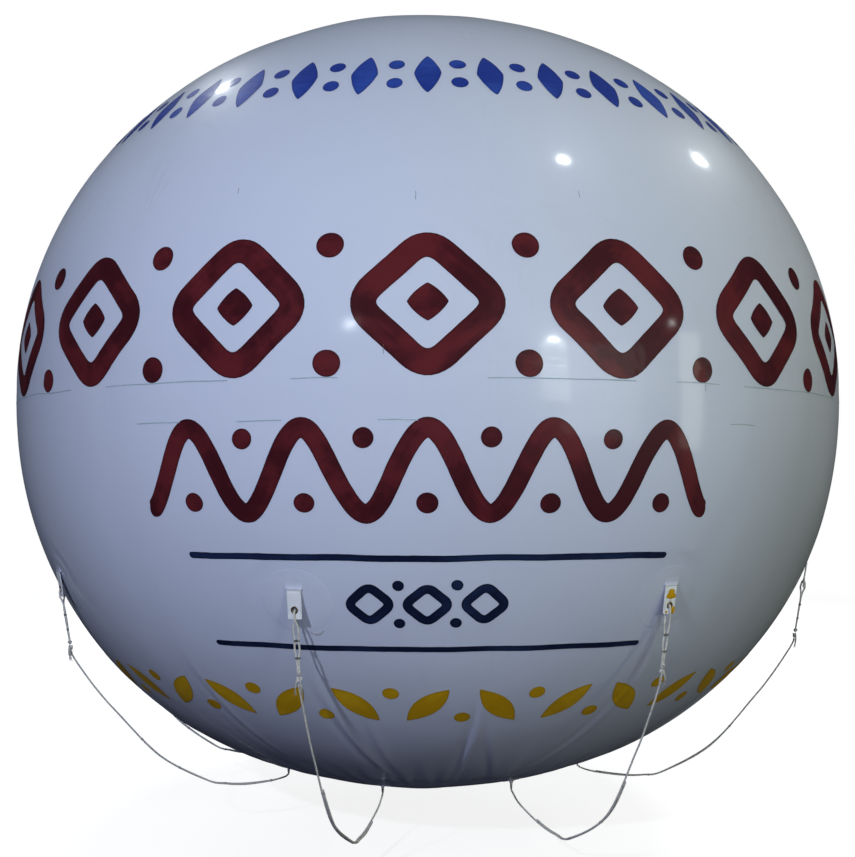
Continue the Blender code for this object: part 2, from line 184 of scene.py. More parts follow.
def nearest_turn(azimuth, others):
    turns = np.stack([np.abs(turn_between(azimuth, other)) for other in others])
    return turns.min(axis=0)


def swell(azimuth, run):
    """Wide, shallow unevenness of the blown-up film."""
    return (0.0021 * np.sin(2 * azimuth + 1.7 * run + 0.4)
            + 0.0014 * np.sin(5 * azimuth - 2.9 * run + 1.9)
            + 0.0009 * np.sin(9 * azimuth + 5.3 * run + 0.8)
            + 0.0005 * np.sin(14 * azimuth - 8.1 * run + 2.6))


def seam_dips(azimuth, run, radius):
    """The film is drawn in along its welds and puckers beside them."""
    beside = radius * nearest_turn(azimuth, SEAM_AZIMUTHS)
    dips = -0.0012 * ridge(beside, 0.070) - 0.0003 * ridge(beside, 0.012)
    dips += 0.0003 * ridge(beside - 0.030, 0.022) * np.sin(run * 97 + 3 * np.sin(run * 11))
    dips -= 0.0010 * ridge(run, 0.045) + 0.0004 * ridge(run, 0.010)
    dips += 0.0004 * ridge(np.abs(run) - 0.028, 0.018) * np.sin(azimuth * 170 + 3 * np.sin(azimuth * 17))
    dips -= 0.0008 * ridge(run + 0.165, 0.009)
    return dips


def end_gathers(azimuth, run):
    """Short radial folds where the gores meet the crown and belly panels."""
    at_belly = run - BELLY_SEAM_RUN
    at_crown = CROWN_SEAM_RUN - run
    folds = 0.0016 * ridge(at_belly - 0.10, 0.16) * np.sin(azimuth * 64 + 2.5 * np.sin(azimuth * 7 + 1))
    folds += 0.0011 * ridge(at_belly - 0.04, 0.09) * np.sin(azimuth * 104 + 2 * np.sin(azimuth * 5))
    folds += 0.0012 * ridge(at_crown - 0.05, 0.10) * np.sin(azimuth * 48 + 2 * np.sin(azimuth * 3 + 2))
    folds -= 0.0028 * ridge(at_belly, 0.05) + 0.0018 * ridge(at_crown, 0.045)
    return folds


def hanging_folds(azimuth, run, radius):
    """A few longer creases in the lower film, as (azimuth, middle run, length, depth) each."""
    creases = [(-13.5, -1.52, 0.30, 0.0050), (-9.0, -1.62, 0.22, 0.0035), (6.5, -1.56, 0.26, 0.0048),
               (11.5, -1.66, 0.24, 0.0038), (-34, -1.40, 0.26, 0.0030), (27, -1.48, 0.28, 0.0034),
               (58, -1.42, 0.30, 0.0036), (-61, -1.50, 0.24, 0.0032), (96, -1.46, 0.28, 0.0040),
               (133, -1.55, 0.24, 0.0034), (171, -1.50, 0.30, 0.0044), (-104, -1.44, 0.26, 0.0036),
               (-146, -1.53, 0.28, 0.0042)]
    folds = 0
    for place, middle, length, depth in creases:
        lean = 0.25 * np.sin(place)
        across = radius * turn_between(azimuth, radians(place)) - lean * (run - middle)
        along = ridge(run - middle, length)
        folds = folds + depth * along * (ridge(across - 0.022, 0.020) - ridge(across, 0.016))
    return folds


def tab_calm(azimuth, run, radius):
    """0 at a tab, where doubler and film lie true, and 1 well away from it."""
    across = radius * nearest_turn(azimuth, TAB_AZIMUTHS)
    down = HINGE_RUN - DOUBLER_BELOW_HINGE - run
    return 1 - ridge(np.hypot(across, down), 0.21)


def tab_pull(azimuth, run, radius):
    """The small peak that a tab's weight draws above its doubler."""
    across = radius * nearest_turn(azimuth, TAB_AZIMUTHS)
    return 0.0018 * ridge(across, 0.10) * ridge(run - HINGE_RUN - 0.17, 0.08)


def tab_folds(azimuth, run, radius):
    """A curved fold and a few short puckers above each tab, where its rope pulls on the film."""
    counted = (azimuth - FIRST_AZIMUTH) / STEP + 0.5
    number = np.floor(counted) % GORES
    across = radius * (counted - np.floor(counted) - 0.5) * STEP
    up = run - HINGE_RUN + DOUBLER_BELOW_HINGE
    reach = np.hypot(across, up)
    along = ridge(turn_between(np.arctan2(up, across), pi / 2 + 0.9 * np.sin(number * 2.3 + 1.2)), 0.5)
    folds = along * (0.0022 * ridge(reach - 0.180, 0.018) - 0.0026 * ridge(reach - 0.158, 0.014))
    puckers = 0.0012 * ridge(up - 0.134, 0.011) * ridge(across - 0.01, 0.08) * np.sin(across * 90 + number)
    return folds + puckers


def relief(azimuth, run):
    radius = radius_at(run)
    fade = np.clip(radius / 0.30, 0, 1)
    total = swell(azimuth, run) + seam_dips(azimuth, run, radius) + end_gathers(azimuth, run)
    total = total + hanging_folds(azimuth, run, radius)
    total = total * fade * tab_calm(azimuth, run, radius)
    return total + tab_pull(azimuth, run, radius) + tab_folds(azimuth, run, radius)


def skin(azimuth, run, lift=0.0):
    """Places on the film, or lifted off it, for arrays of azimuths and runs."""
    azimuth = np.asarray(azimuth, float)
    run = np.asarray(run, float)
    radius = radius_at(run)
    height = height_at(run)
    away, up = outward(radius, height)
    out = relief(azimuth, run) + lift
    radius = radius + away * out
    return np.stack([radius * np.sin(azimuth), -radius * np.cos(azimuth), height + up * out], axis=-1)


# Mesh building

class Shape:
    """Grids of vertices, each with its metric (along, across) place and its distance from the rim."""

    def __init__(self):
        self.places, self.marks, self.rims, self.faces = [], [], [], []
        self.count = 0

    def add_grid(self, places, marks=(0, 0), rims=1, loop_rows=False, loop_columns=False, capped=False):
        """A grid of quads; rows or columns may close on themselves, and the ends may be capped."""
        numbers = self.count + np.arange(places[..., 0].size).reshape(places.shape[:2])
        self.count += numbers.size
        caps = [numbers[0, ::-1].tolist(), numbers[-1].tolist()] if capped else []
        if loop_rows:
            numbers = np.concatenate([numbers, numbers[:1]])
        if loop_columns:
            numbers = np.concatenate([numbers, numbers[:, :1]], axis=1)
        quads = [numbers[:-1, :-1], numbers[:-1, 1:], numbers[1:, 1:], numbers[1:, :-1]]
        self.faces += np.stack(quads, axis=-1).reshape(-1, 4).tolist() + caps
        along, across, rim, _ = np.broadcast_arrays(*marks, rims, places[..., 0])
        self.places.append(places.reshape(-1, 3))
        self.marks.append(np.stack([along, across], axis=-1).reshape(-1, 2))
        self.rims.append(rim.ravel())

    def mesh(self, name, sharp=None):
        mesh = bpy.data.meshes.new(name)
        mesh.from_pydata(np.concatenate(self.places).tolist(), [], self.faces)
        corners = np.zeros(len(mesh.loops), int)
        mesh.loops.foreach_get("vertex_index", corners)
        layer = mesh.uv_layers.new(name="metric")
        layer.data.foreach_set("uv", np.concatenate(self.marks)[corners].ravel().astype(np.float32))
        rim = mesh.attributes.new("rim", "FLOAT", "POINT")
        rim.data.foreach_set("value", np.concatenate(self.rims).astype(np.float32))
        mesh.shade_smooth()
        if sharp is not None:
            mesh.set_sharp_from_angle(angle=radians(sharp))
        return mesh


def piece(name, shape, material, body, replaced=(), place=None):
    """A named object from a shape, or from a mesh that several pieces share."""
    mesh = shape.mesh(name) if isinstance(shape, Shape) else shape
    obj = bpy.data.objects.new(name, mesh)
    bpy.context.scene.collection.objects.link(obj)
    if not mesh.materials:
        mesh.materials.append(material)
    if place is not None:
        obj.matrix_world = place
    if body is not None:
        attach(obj, body)
    if replaced:
        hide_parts(*replaced)
    return obj


# Tubes and ropes

def full_turn(count):
    return np.linspace(0, 2 * pi, count, endpoint=False)


def smooth_route(points, count):
    """Points of a smooth curve through the route's own points, evenly spaced along it."""
    pts = [np.array(p, float) for p in points]
    ends = [2 * pts[0] - pts[1]] + pts + [2 * pts[-1] - pts[-2]]
    fine = []
    for p0, p1, p2, p3 in zip(ends, ends[1:], ends[2:], ends[3:]):
        for t in np.arange(0, 1, 1 / 24):
            fine.append(0.5 * (2 * p1 + (p2 - p0) * t + (2 * p0 - 5 * p1 + 4 * p2 - p3) * t ** 2
                               + (3 * p1 - p0 - 3 * p2 + p3) * t ** 3))
    fine.append(pts[-1])
    fine = np.array(fine)
    run = run_along(fine)
    want = np.linspace(0, run[-1], count)
    return np.stack([np.interp(want, run, fine[:, axis]) for axis in range(3)], axis=1)


def run_along(path):
    return np.concatenate([[0], np.cumsum(np.linalg.norm(np.diff(path, axis=0), axis=1))])


def even_path(points, step):
    length = run_along(smooth_route(points, 200))[-1]
    return smooth_route(points, max(4, ceil(length / step) + 1))


def path_frames(path):
    """Two sides at each point of a path, turning as little as they can along it."""
    ahead = np.gradient(path, axis=0)
    ahead /= np.linalg.norm(ahead, axis=1)[:, None]
    side = np.cross(ahead[0], [0.3, 1.0, 0.2])
    sides = []
    for direction in ahead:
        side = side - direction * side.dot(direction)
        side = side / np.linalg.norm(side)
        sides.append(side)
    sides = np.array(sides)
    return sides, np.cross(ahead, sides)


def add_tube(shape, path, radius, sides, ends):
    """A round tube; ends give its size at its two ends, as parts of its radius."""
    size = radius * np.interp(np.linspace(0, 1, len(path)), [0, 1], ends)[:, None]
    add_swept(shape, path, full_turn(sides), size)


def add_rope(shape, path, radius, sides=16, start_turn=0.0):
    """Three strands laid round each other; the surface columns wind with them."""
    turn = full_turn(sides)
    wind = run_along(path) / LAY_PITCH * 2 * pi + start_turn
    size = radius * (1.00 + 0.32 * np.sqrt(np.abs(np.cos(1.5 * turn))))
    add_swept(shape, path, turn + wind[:, None], size)


def add_swept(shape, path, turn, size):
    """A closed skin round a path, out by a size at each turn."""
    first, second = path_frames(path)
    turn, size = np.broadcast_arrays(turn, size)
    places = (path[:, None] + first[:, None] * (np.cos(turn) * size)[..., None]
              + second[:, None] * (np.sin(turn) * size)[..., None])
    around = np.linspace(0, 1, size.shape[1], endpoint=False) * 2 * pi * size.mean()
    shape.add_grid(places, (run_along(path)[:, None], around), size, loop_columns=True, capped=True)


def add_coil(shape, centre, axis, reach, turns, wire, flat=1.0, across=(1, 0, 0)):
    """A cord lashed round something: turns of a helix about an axis, flattened to an oval."""
    axis = np.array(axis, float) / np.linalg.norm(axis)
    wide = np.array(across, float)
    wide -= axis * wide.dot(axis)
    wide /= np.linalg.norm(wide)
    deep = np.cross(axis, wide)
    angle = np.linspace(0, 2 * pi * turns, int(turns * 18) + 1)
    rise = (angle / (2 * pi) - turns / 2) * wire * 1.9
    path = (centre + np.outer(rise, axis) + np.outer(np.cos(angle) * reach, wide)
            + np.outer(np.sin(angle) * reach * flat, deep))
    add_tube(shape, path, wire, sides=7, ends=(0.7, 0.7))


def add_knot(shape, centre, spread, radius, tip):
    """A drawn-up overhand knot: a trefoil of rope, tipped so that it isn't seen flat."""
    angle = np.linspace(0, 2 * pi, 97)
    x = np.sin(angle) + 2 * np.sin(2 * angle)
    y = np.cos(angle) - 2 * np.cos(2 * angle)
    z = -1.25 * np.sin(3 * angle)
    curve = np.stack([x, z, y], axis=1) * spread / 3
    add_rope(shape, turned_about_axis(curve, tip) + centre, radius, sides=15)


# Where each tab hangs

HINGE_RADIUS = float(radius_at(HINGE_RUN))
HINGE_AWAY, HINGE_UP = outward(HINGE_RADIUS, HINGE_HEIGHT)
PIN_RADIUS = float(HINGE_RADIUS + HINGE_AWAY * HINGE_LIFT)
PIN_HEIGHT = float(HINGE_HEIGHT + HINGE_UP * HINGE_LIFT)


def around(radius, height, azimuth):
    return Vector((radius * sin(azimuth), -radius * cos(azimuth), height))


def tab_place(k):
    azimuth = TAB_AZIMUTHS[k]
    return Matrix.Translation(around(PIN_RADIUS, PIN_HEIGHT, azimuth)) @ Matrix.Rotation(azimuth, 4, "Z")


def leaning(down, out, across=0.0):
    """A point of a tab or hanger, counted from the hinge."""
    return np.array([across, -out * cos(TAB_LEAN) + down * sin(TAB_LEAN),
                     -out * sin(TAB_LEAN) - down * cos(TAB_LEAN)])


# Free ropes

def lug_bottom():
    return float(height_at(run_at_radius(LUG_FROM_AXIS, False))) - LUG_TALL


def rope_route(k):
    """The route from the knot to the lug, in the upright plane of azimuth 0."""
    straight = leaning(1, 0)
    start = np.array([0, -PIN_RADIUS, PIN_HEIGHT]) + straight * (KNOT_BELOW_HINGE + KNOT_TALL / 2 + SEAM_GAP)
    end = np.array([0, -LUG_FROM_AXIS, lug_bottom() - SEAM_GAP])
    slack = ROPE_SLACK[k]
    route = [start + straight * ROPE_END_STRAIGHT]
    for (r0, z0), (r1, z1) in zip(SNUG_ROUTE, SLACK_ROUTE):
        route.append(np.array([0, -(r0 + (r1 - r0) * slack), z0 + (z1 - z0) * slack]))
    route.append(end - np.array([0, 0, ROPE_END_STRAIGHT]))
    return start, route, end


def turned_about_axis(path, azimuth):
    turn = np.array(Matrix.Rotation(azimuth, 3, "Z"))
    return path @ turn.T


def rope_path(k):
    start, route, end = rope_route(k)
    lead = np.linspace(start, route[0], 5)[:-1]
    tail = np.linspace(route[-1], end, 5)[1:]
    return turned_about_axis(np.concatenate([lead, even_path(route, ROPE_STEP), tail]), TAB_AZIMUTHS[k])


def swinging_piece(name, shape, material, replaced=()):
    """A piece on no body, with its placing baked into its mesh."""
    obj = piece(name, shape, material, None, replaced)
    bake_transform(obj)
    return obj


def hung_rope(name, run, material, replaced=(), start_turn=0.0):
    """A limp rope swept along a run."""
    shape = Shape()
    add_rope(shape, run, ROPE_DIAMETER / 2, start_turn=start_turn)
    rope = swinging_piece(name, shape, material, replaced)


def free_rope(k, material):
    path = rope_path(k)
    hung_rope(f"slack_rope_{k + 1}", path, material, [f"rope_{k + 1}"])
    doubled_rope(k, path, material)


def doubled_rope(k, path, material):
    """The rope's spare end, laid back along the bottom of the loop and lashed to it."""
    run = run_along(path)
    azimuth = TAB_AZIMUTHS[k]
    sideways = np.array([cos(azimuth), sin(azimuth), 0])
    chosen = (run > DOUBLED_FROM) & (run < DOUBLED_TO)
    part = (run[chosen] - DOUBLED_FROM) / (DOUBLED_TO - DOUBLED_FROM)
    wander = 0.0064 + 0.0022 * np.sin(part * 2 * pi * 1.5) ** 2
    sag = -0.0018 * np.sin(part * pi * 3 + k)
    spare = path[chosen] + sideways * wander[:, None] + np.outer(sag, [0, 0, 1])
    hung_rope(f"spare_end_{k + 1}", spare, material, start_turn=1.0)
    ties = Shape()
    for at in (0.03, 0.34, 0.66, 0.97):
        i = int(at * (len(spare) - 1))
        j = int(np.flatnonzero(chosen)[0]) + i
        ahead = spare[min(i + 1, len(spare) - 1)] - spare[max(i - 1, 0)]
        add_coil(ties, (spare[i] + path[j]) / 2, ahead, 0.0071, 3, 0.0011, flat=0.62, across=sideways)
    swinging_piece(f"loop_ties_{k + 1}", ties, material)


# Film panels

def film_sheet(name, azimuths, runs, centre, material, replaced, wraps=False):
    """A panel of film over a grid of azimuths and runs."""
    azimuth, run = np.meshgrid(azimuths, runs)
    places = skin(azimuth, run)
    shape = Shape()
    shape.add_grid(places, (run, radius_at(run) * turn_between(azimuth, centre)), loop_columns=wraps)
    panel = piece(name, shape, material, "root", [replaced])
    rows = np.linalg.norm(np.diff(places, axis=0), axis=2)
    columns = np.linalg.norm(np.diff(places, axis=1), axis=2)
    area = float((rows[:, :-1] * columns[:-1, :]).sum())
    return panel, area, float(columns.sum(axis=1).max()), float(rows.sum(axis=0).max())


def gore_film(k, upper, material):
    centre = TAB_AZIMUTHS[k]
    azimuths = np.linspace(centre - STEP / 2, centre + STEP / 2, ceil(STEP * WIDE_RADIUS / FILM_CELL) + 1)
    end = CROWN_SEAM_RUN if upper else BELLY_SEAM_RUN
    runs = np.linspace(min(0, end), max(0, end), ceil(abs(end) / FILM_CELL) + 1)
    half = "upper" if upper else "lower"
    panel, area, width, length = film_sheet(f"{half}_film_{k + 1}", azimuths, runs, centre, material,
                                            f"{half}_gore_{k + 1}")


def end_film(name, inner_radius, outer_radius, crown, material, replaced):
    sides = ceil(2 * pi * outer_radius / FILM_CELL / 8) * 16
    azimuths = FIRST_AZIMUTH + full_turn(sides)
    inner = run_at_radius(inner_radius, crown)
    outer = run_at_radius(outer_radius, crown)
    count = ceil(abs(outer - inner) / FILM_CELL) + 1
    runs = np.linspace(min(inner, outer), max(inner, outer), count)
    panel = film_sheet(name, azimuths, runs, 0, material, replaced, wraps=True)[0]


# Welds: pressed bands of double film over each seam

WELD_HALF = 0.011
WELD_LIFT = [0.0001, 0.0004, 0.0005, 0.0004, 0.0001]


def add_band(shape, azimuths, runs, upright, loop=False):
    """A band along a line of azimuths and runs, upright or level."""
    offsets = np.linspace(-WELD_HALF, WELD_HALF, len(WELD_LIFT))
    azimuth, run = azimuths[:, None] + 0 * offsets, runs[:, None] + 0 * offsets
    if upright:
        azimuth = azimuth - offsets / radius_at(run)
        along = runs[:, None]
    else:
        run = run + offsets
        along = (azimuths * radius_at(runs))[:, None]
    rims = WELD_HALF - np.abs(offsets)
    shape.add_grid(skin(azimuth, run, WELD_LIFT), (along, offsets), rims, loop_rows=loop)


def weld_bands(material):
    uprights = Shape()
    for azimuth in SEAM_AZIMUTHS:
        runs = np.linspace(CROWN_SEAM_RUN, BELLY_SEAM_RUN, 240)[::-1]
        add_band(uprights, np.full(len(runs), azimuth), runs, upright=True)
    piece("gore_welds", uprights, material, "root")
    for name, run, count in [("belt_weld", 0.0, 576), ("crown_weld", CROWN_SEAM_RUN, 144),
                             ("belly_weld", BELLY_SEAM_RUN, 288)]:
        shape = Shape()
        add_band(shape, full_turn(count)[::-1], np.full(count, run), upright=False, loop=True)
        piece(name, shape, material, "root")


# Paint: strokes and solid marks laid on the film by hand

PAINT_LIFT = 0.0011
PAINT_CELL = 0.012
HAND_SEED = 7
noise.seed_set(HAND_SEED)


def wobble(points, seed):
    """The small unsteadiness of a painter's hand, as an offset in the plane of the mark."""
    moved = []
    for u, v in points.reshape(-1, 2):
        slow = noise.noise_vector(Vector((u * 5.5, v * 5.5, seed)))
        quick = noise.noise_vector(Vector((u * 38, v * 38, seed + 40)))
        moved.append((u + slow[0] * 0.0042 + quick[0] * 0.0007, v + slow[1] * 0.0042 + quick[1] * 0.0007))
    return np.array(moved).reshape(points.shape)


def add_painted(shape, flat, marks, rims, azimuth, run, seed, **grid):
    """Flat (across, up) points laid on the skin about an azimuth and a run."""
    moved = wobble(flat, seed)
    azimuths = azimuth + moved[..., 0] / radius_at(run)
    runs = run + moved[..., 1]
    places = skin(azimuths, runs, PAINT_LIFT)
    shape.add_grid(places, marks, rims, **grid)


def mitres(corners, closed):
    """At each corner, the sideways step whose reach keeps the stroke's width."""
    legs = np.diff(np.concatenate([corners, corners[:1]]) if closed else corners, axis=0)
    normals = np.stack([-legs[:, 1], legs[:, 0]], axis=1) / np.linalg.norm(legs, axis=1)[:, None]
    if closed:
        before, after = np.roll(normals, 1, axis=0), normals
    else:
        before, after = np.concatenate([normals[:1], normals]), np.concatenate([normals, normals[-1:]])
    return (before + after) / (1 + (before * after).sum(axis=1))[:, None]


def add_stroke(shape, corners, half, azimuth, run, seed, closed=False):
    """A stroke of even width along a line of (across, up) corners; a line's ends are rounded."""
    line = np.array(corners, float)
    steps = mitres(line, closed)
    if closed:
        line = np.concatenate([line, line[:1]])
        steps = np.concatenate([steps, steps[:1]])
    stops = run_along(line)
    total = stops[-1]
    along = [stops, np.arange(0, total, PAINT_CELL)]
    if not closed:
        cap = half * (1 - np.cos(np.linspace(0, pi / 2, 6)))
        along += [cap, total - cap]
    along = np.unique(np.round(np.concatenate(along), 4))
    if closed:
        along = along[:-1]
    centre = np.stack([np.interp(along, stops, line[:, axis]) for axis in (0, 1)], axis=1)
    sideways = np.stack([np.interp(along, stops, steps[:, axis]) for axis in (0, 1)], axis=1)
    width = np.ones(len(along))
    if not closed:
        from_end = np.clip(np.minimum(along, total - along) / half, 0, 1)
        width = np.sqrt(np.clip(1 - (1 - from_end) ** 2, 0.0004, 1))
    across = np.linspace(-half, half, max(3, ceil(2 * half / 0.018) + 1)) * width[:, None]
    flat = centre[:, None] - sideways[:, None] * across[..., None]
    rims = (half * width)[:, None] - np.abs(across)
    add_painted(shape, flat, (along[:, None], across), rims, azimuth, run, seed, loop_rows=closed)


def add_mark(shape, width, height, bluntness, tilt, azimuth, run, seed, leaf=False):
    """A solid mark: a lozenge, disc or block by its bluntness, or a pointed leaf."""
    sides = max(20, ceil(pi * (width + height) / 2 / 0.010))
    turn = full_turn(sides)
    if leaf:
        x, y = np.cos(turn), np.sin(turn) * np.abs(np.sin(turn))
    else:
        x, y = (np.sign(c) * np.abs(c) ** (2 / bluntness) for c in (np.cos(turn), np.sin(turn)))
    edge = np.stack([x * width / 2, y * height / 2], axis=1)
    turned = np.array([[cos(tilt), -sin(tilt)], [sin(tilt), cos(tilt)]])
    rings = max(2, ceil(max(width, height) / 2 / 0.016))
    part = np.concatenate([np.linspace(1, 0.12, rings), [0.0005]])
    flat = part[:, None, None] * edge
    rims = (1 - part)[:, None] * min(width, height) / 2
    marks = flat[..., 0], flat[..., 1]
    add_painted(shape, flat @ turned.T, marks, rims, azimuth, run, seed, loop_columns=True)


def rounded(half_width, half_height, radius):
    """A closed lozenge whose corners are drawn as arcs."""
    corners = [(half_width, 0), (0, half_height), (-half_width, 0), (0, -half_height)]
    corners = [np.array(c, float) for c in corners]
    line = []
    for i, corner in enumerate(corners):
        back = corners[i - 1] - corner
        ahead = corners[(i + 1) % len(corners)] - corner
        back /= np.linalg.norm(back)
        ahead /= np.linalg.norm(ahead)
        for t in np.linspace(0, 1, 10):
            line.append(corner + back * radius * (1 - t) ** 2 + ahead * radius * t ** 2)
    return line


BIG_ROW_HEIGHT = 0.186
BIG_ROW_COUNT = 7
BIG_ROW_STEP = radians(20.4)
WAVE_ROW_HEIGHT = -0.352
BLUE_ROW_HEIGHT = 1.060
YELLOW_ROW_HEIGHT = -1.170
RULE_HEIGHTS = (-0.635, -0.950)
RULE_REACH = radians(28)
SMALL_STEP = radians(6.6)
BLUE_STEP = radians(9.0)
YELLOW_STEP = radians(10.2)
WAVE_LENGTH, WAVE_TALL, WAVE_PERIOD = 2.04, 0.140, 0.408


def lozenge_row(shape, side):
    """Seven large hollow lozenges, each round a small solid one, with discs between them."""
    run = run_at_height(BIG_ROW_HEIGHT)
    for i in range(BIG_ROW_COUNT):
        azimuth = side + (i - (BIG_ROW_COUNT - 1) / 2) * BIG_ROW_STEP
        outline = rounded(0.236, 0.222, 0.082)
        add_stroke(shape, outline, 0.043, azimuth, run, i + 1, closed=True)
        add_mark(shape, 0.132, 0.126, 1.25, 0, azimuth, run, i + 11)
        if i < BIG_ROW_COUNT - 1:
            for up in (-0.196, 0.196):
                add_mark(shape, 0.092, 0.088, 2, 0, azimuth + BIG_ROW_STEP / 2, run + up, i + 21)


def wave_row(shape, side):
    """A rolling wave with a disc in each hollow."""
    run = run_at_height(WAVE_ROW_HEIGHT)
    along = np.linspace(-WAVE_LENGTH / 2, WAVE_LENGTH / 2, 281)
    line = np.stack([along, WAVE_TALL * np.cos(along / WAVE_PERIOD * 2 * pi)], axis=1)
    add_stroke(shape, line, 0.033, side, run, 31)
    for i in range(-4, 5):
        up = -0.106 if i % 2 == 0 else 0.106
        add_mark(shape, 0.070, 0.068, 2, 0, side + i * WAVE_PERIOD / 2 / radius_at(run), run + up, 40 + i)


def ruled_row(shape, side):
    """Two thin rules that pass over and under the tabs, with hollow lozenges and discs between them."""
    for row, height in enumerate(RULE_HEIGHTS):
        run = run_at_height(height)
        reach = RULE_REACH * float(radius_at(run))
        add_stroke(shape, [(-reach, 0), (0, 0), (reach, 0)], 0.0115, side, run, 51 + row)
    run = run_at_height(sum(RULE_HEIGHTS) / 2)
    for i in range(-1, 2):
        outline = rounded(0.074, 0.070, 0.030)
        add_stroke(shape, outline, 0.0165, side + i * SMALL_STEP, run, 60 + i, closed=True)
        for up in (-0.072, 0.072):
            if i < 1:
                add_mark(shape, 0.040, 0.038, 2, 0, side + (i + 0.5) * SMALL_STEP, run + up, 66 + i)


def blue_row(shape, side):
    """Upright lozenges with pairs of small discs between them."""
    run = run_at_height(BLUE_ROW_HEIGHT)
    for i in range(-8, 9):
        azimuth = side + i * BLUE_STEP
        add_mark(shape, 0.098, 0.250, 1.3, radians(4) * sin(i * 2.1), azimuth, run, 71 + i)
        if i < 8:
            for up in (-0.062, 0.062):
                add_mark(shape, 0.060, 0.064, 2, 0, azimuth + BLUE_STEP / 2, run + up, 95 + i)


def yellow_row(shape, side):
    """Leaves that lean to and fro, with a disc in each gap."""
    run = run_at_height(YELLOW_ROW_HEIGHT)
    for i in range(-7, 8):
        azimuth = side + i * YELLOW_STEP
        lean = radians(50) if i % 2 == 0 else radians(-50)
        add_mark(shape, 0.232, 0.088, 2, lean, azimuth, run, 121 + i, leaf=True)
        if i < 7:
            up = -0.064 if i % 2 == 0 else 0.064
            add_mark(shape, 0.060, 0.058, 2, 0, azimuth + YELLOW_STEP / 2, run + up, 145 + i)


def paint_ticks(pencil, chalk):
    """Pencil ticks and chalk lines that the painter left when setting the rows out."""
    shape = Shape()
    for azimuth, height, tall in [(-1.3, 0.549, 0.034), (-4.4, 0.033, 0.030), (-22, 0.60, 0.022),
                                  (17, 0.57, 0.026), (31, -0.07, 0.024)]:
        line = [(0, -tall / 2), (0.001, tall / 2)]
        add_stroke(shape, line, 0.0011, radians(azimuth), run_at_height(height), 7)
    piece("pencil_ticks", shape, pencil, "root")
    shape = Shape()
    guides = [(-0.056, [(-74, -45), (-38, -21), (-14, -9), (6, 22), (27, 33), (37, 62), (66, 75)]),
              (-0.190, [(-33, -27), (-20, -15), (-5, -1), (35, 39)])]
    for side in (0, pi):
        for height, parts in guides:
            for first, last in parts:
                reach = radians(last - first) / 2 * WIDE_RADIUS
                line = [(-reach, 0), (0, 0.002), (reach, 0)]
                middle = side + radians(first + last) / 2
                add_stroke(shape, line, 0.0017, middle, run_at_height(height), first)
    piece("chalk_lines", shape, chalk, "root")


def painted_rows(looks):
    for name, make, paint in [("maroon_lozenges", lozenge_row, "maroon"), ("maroon_wave", wave_row, "maroon"),
                              ("navy_rules", ruled_row, "navy"), ("blue_marks", blue_row, "blue"),
                              ("yellow_leaves", yellow_row, "yellow")]:
        shape = Shape()
        for side in (0, pi):
            make(shape, side)
        piece(name, shape, looks[paint], "root")
    paint_ticks(looks["pencil"], looks["chalk"])


# Load tabs

def ray_to_strap(angle, corner):
    """From the eyelet's centre, the strap's edge in a direction: (across, down)."""
    x, y = sin(angle), cos(angle)
    half, low, high = TAB_WIDTH / 2, TAB_LENGTH - HOLE_BELOW_HINGE, -HOLE_BELOW_HINGE
    to_side = half / abs(x) if abs(x) > 1e-9 else 9
    to_end = (low if y > 0 else high) / y if abs(y) > 1e-9 else 9
    reach = min(to_side, to_end)
    px, py = x * reach, y * reach
    cx, cy = half - corner, low - corner
    if abs(px) > cx and py > cy:
        a, b = x * x + y * y, -2 * (abs(x) * cx + y * cy)
        c = cx * cx + cy * cy - corner * corner
        reach = (-b + sqrt(max(b * b - 4 * a * c, 0))) / (2 * a)
        px, py = x * reach, y * reach
    return px, py


def strap_curl(down):
    """How far the strap's lower end has curled outward."""
    return 0.0025 * np.clip((down - 0.05) / 0.048, 0, 1) ** 2


def strap_mesh():
    """A flat strap with rounded lower corners, a soft edge, a pressed border and its hole."""
    angles = full_turn(96)
    for side in (-1, 1):
        corner = np.arctan2(side * TAB_WIDTH / 2, -HOLE_BELOW_HINGE) % (2 * pi)
        angles[np.argmin(np.abs(angles - corner))] = corner
    edge = np.array([ray_to_strap(a, 0.004) for a in angles])
    inner = np.stack([np.sin(angles), np.cos(angles)], axis=1) * HOLE_RADIUS
    half = TAB_THICKNESS / 2
    room = np.linalg.norm(edge - inner, axis=1)
    front = [(0.0, 0.0, half - 0.0006), (0.0, 0.0006, half)]
    front += [(part, 0.0, half) for part in (0.15, 0.35, 0.55, 0.75)]
    rim = [(1.0, -0.0062, half), (1.0, -0.0050, half - 0.0006), (1.0, -0.0038, half - 0.0006),
           (1.0, -0.0026, half), (1.0, -0.0010, half - 0.0001), (1.0, -0.0003, half - 0.0006),
           (1.0, 0.0, half - 0.0012)]
    profile = front + rim + [(p, d, -o) for p, d, o in reversed(front + rim)]
    rows = []
    for part, distance, out in profile:
        share = np.clip(part + distance / room, 0, 1)
        flat = inner + (edge - inner) * share[:, None]
        down = HOLE_BELOW_HINGE + flat[:, 1]
        rows.append([leaning(d, out + strap_curl(d), x) for d, x in zip(down, flat[:, 0])])
    places = np.array(rows)[::-1]
    shape = Shape()
    shape.add_grid(places, (-places[..., 2], places[..., 0]), loop_rows=True, loop_columns=True)
    return shape.mesh("load_strap", sharp=50)


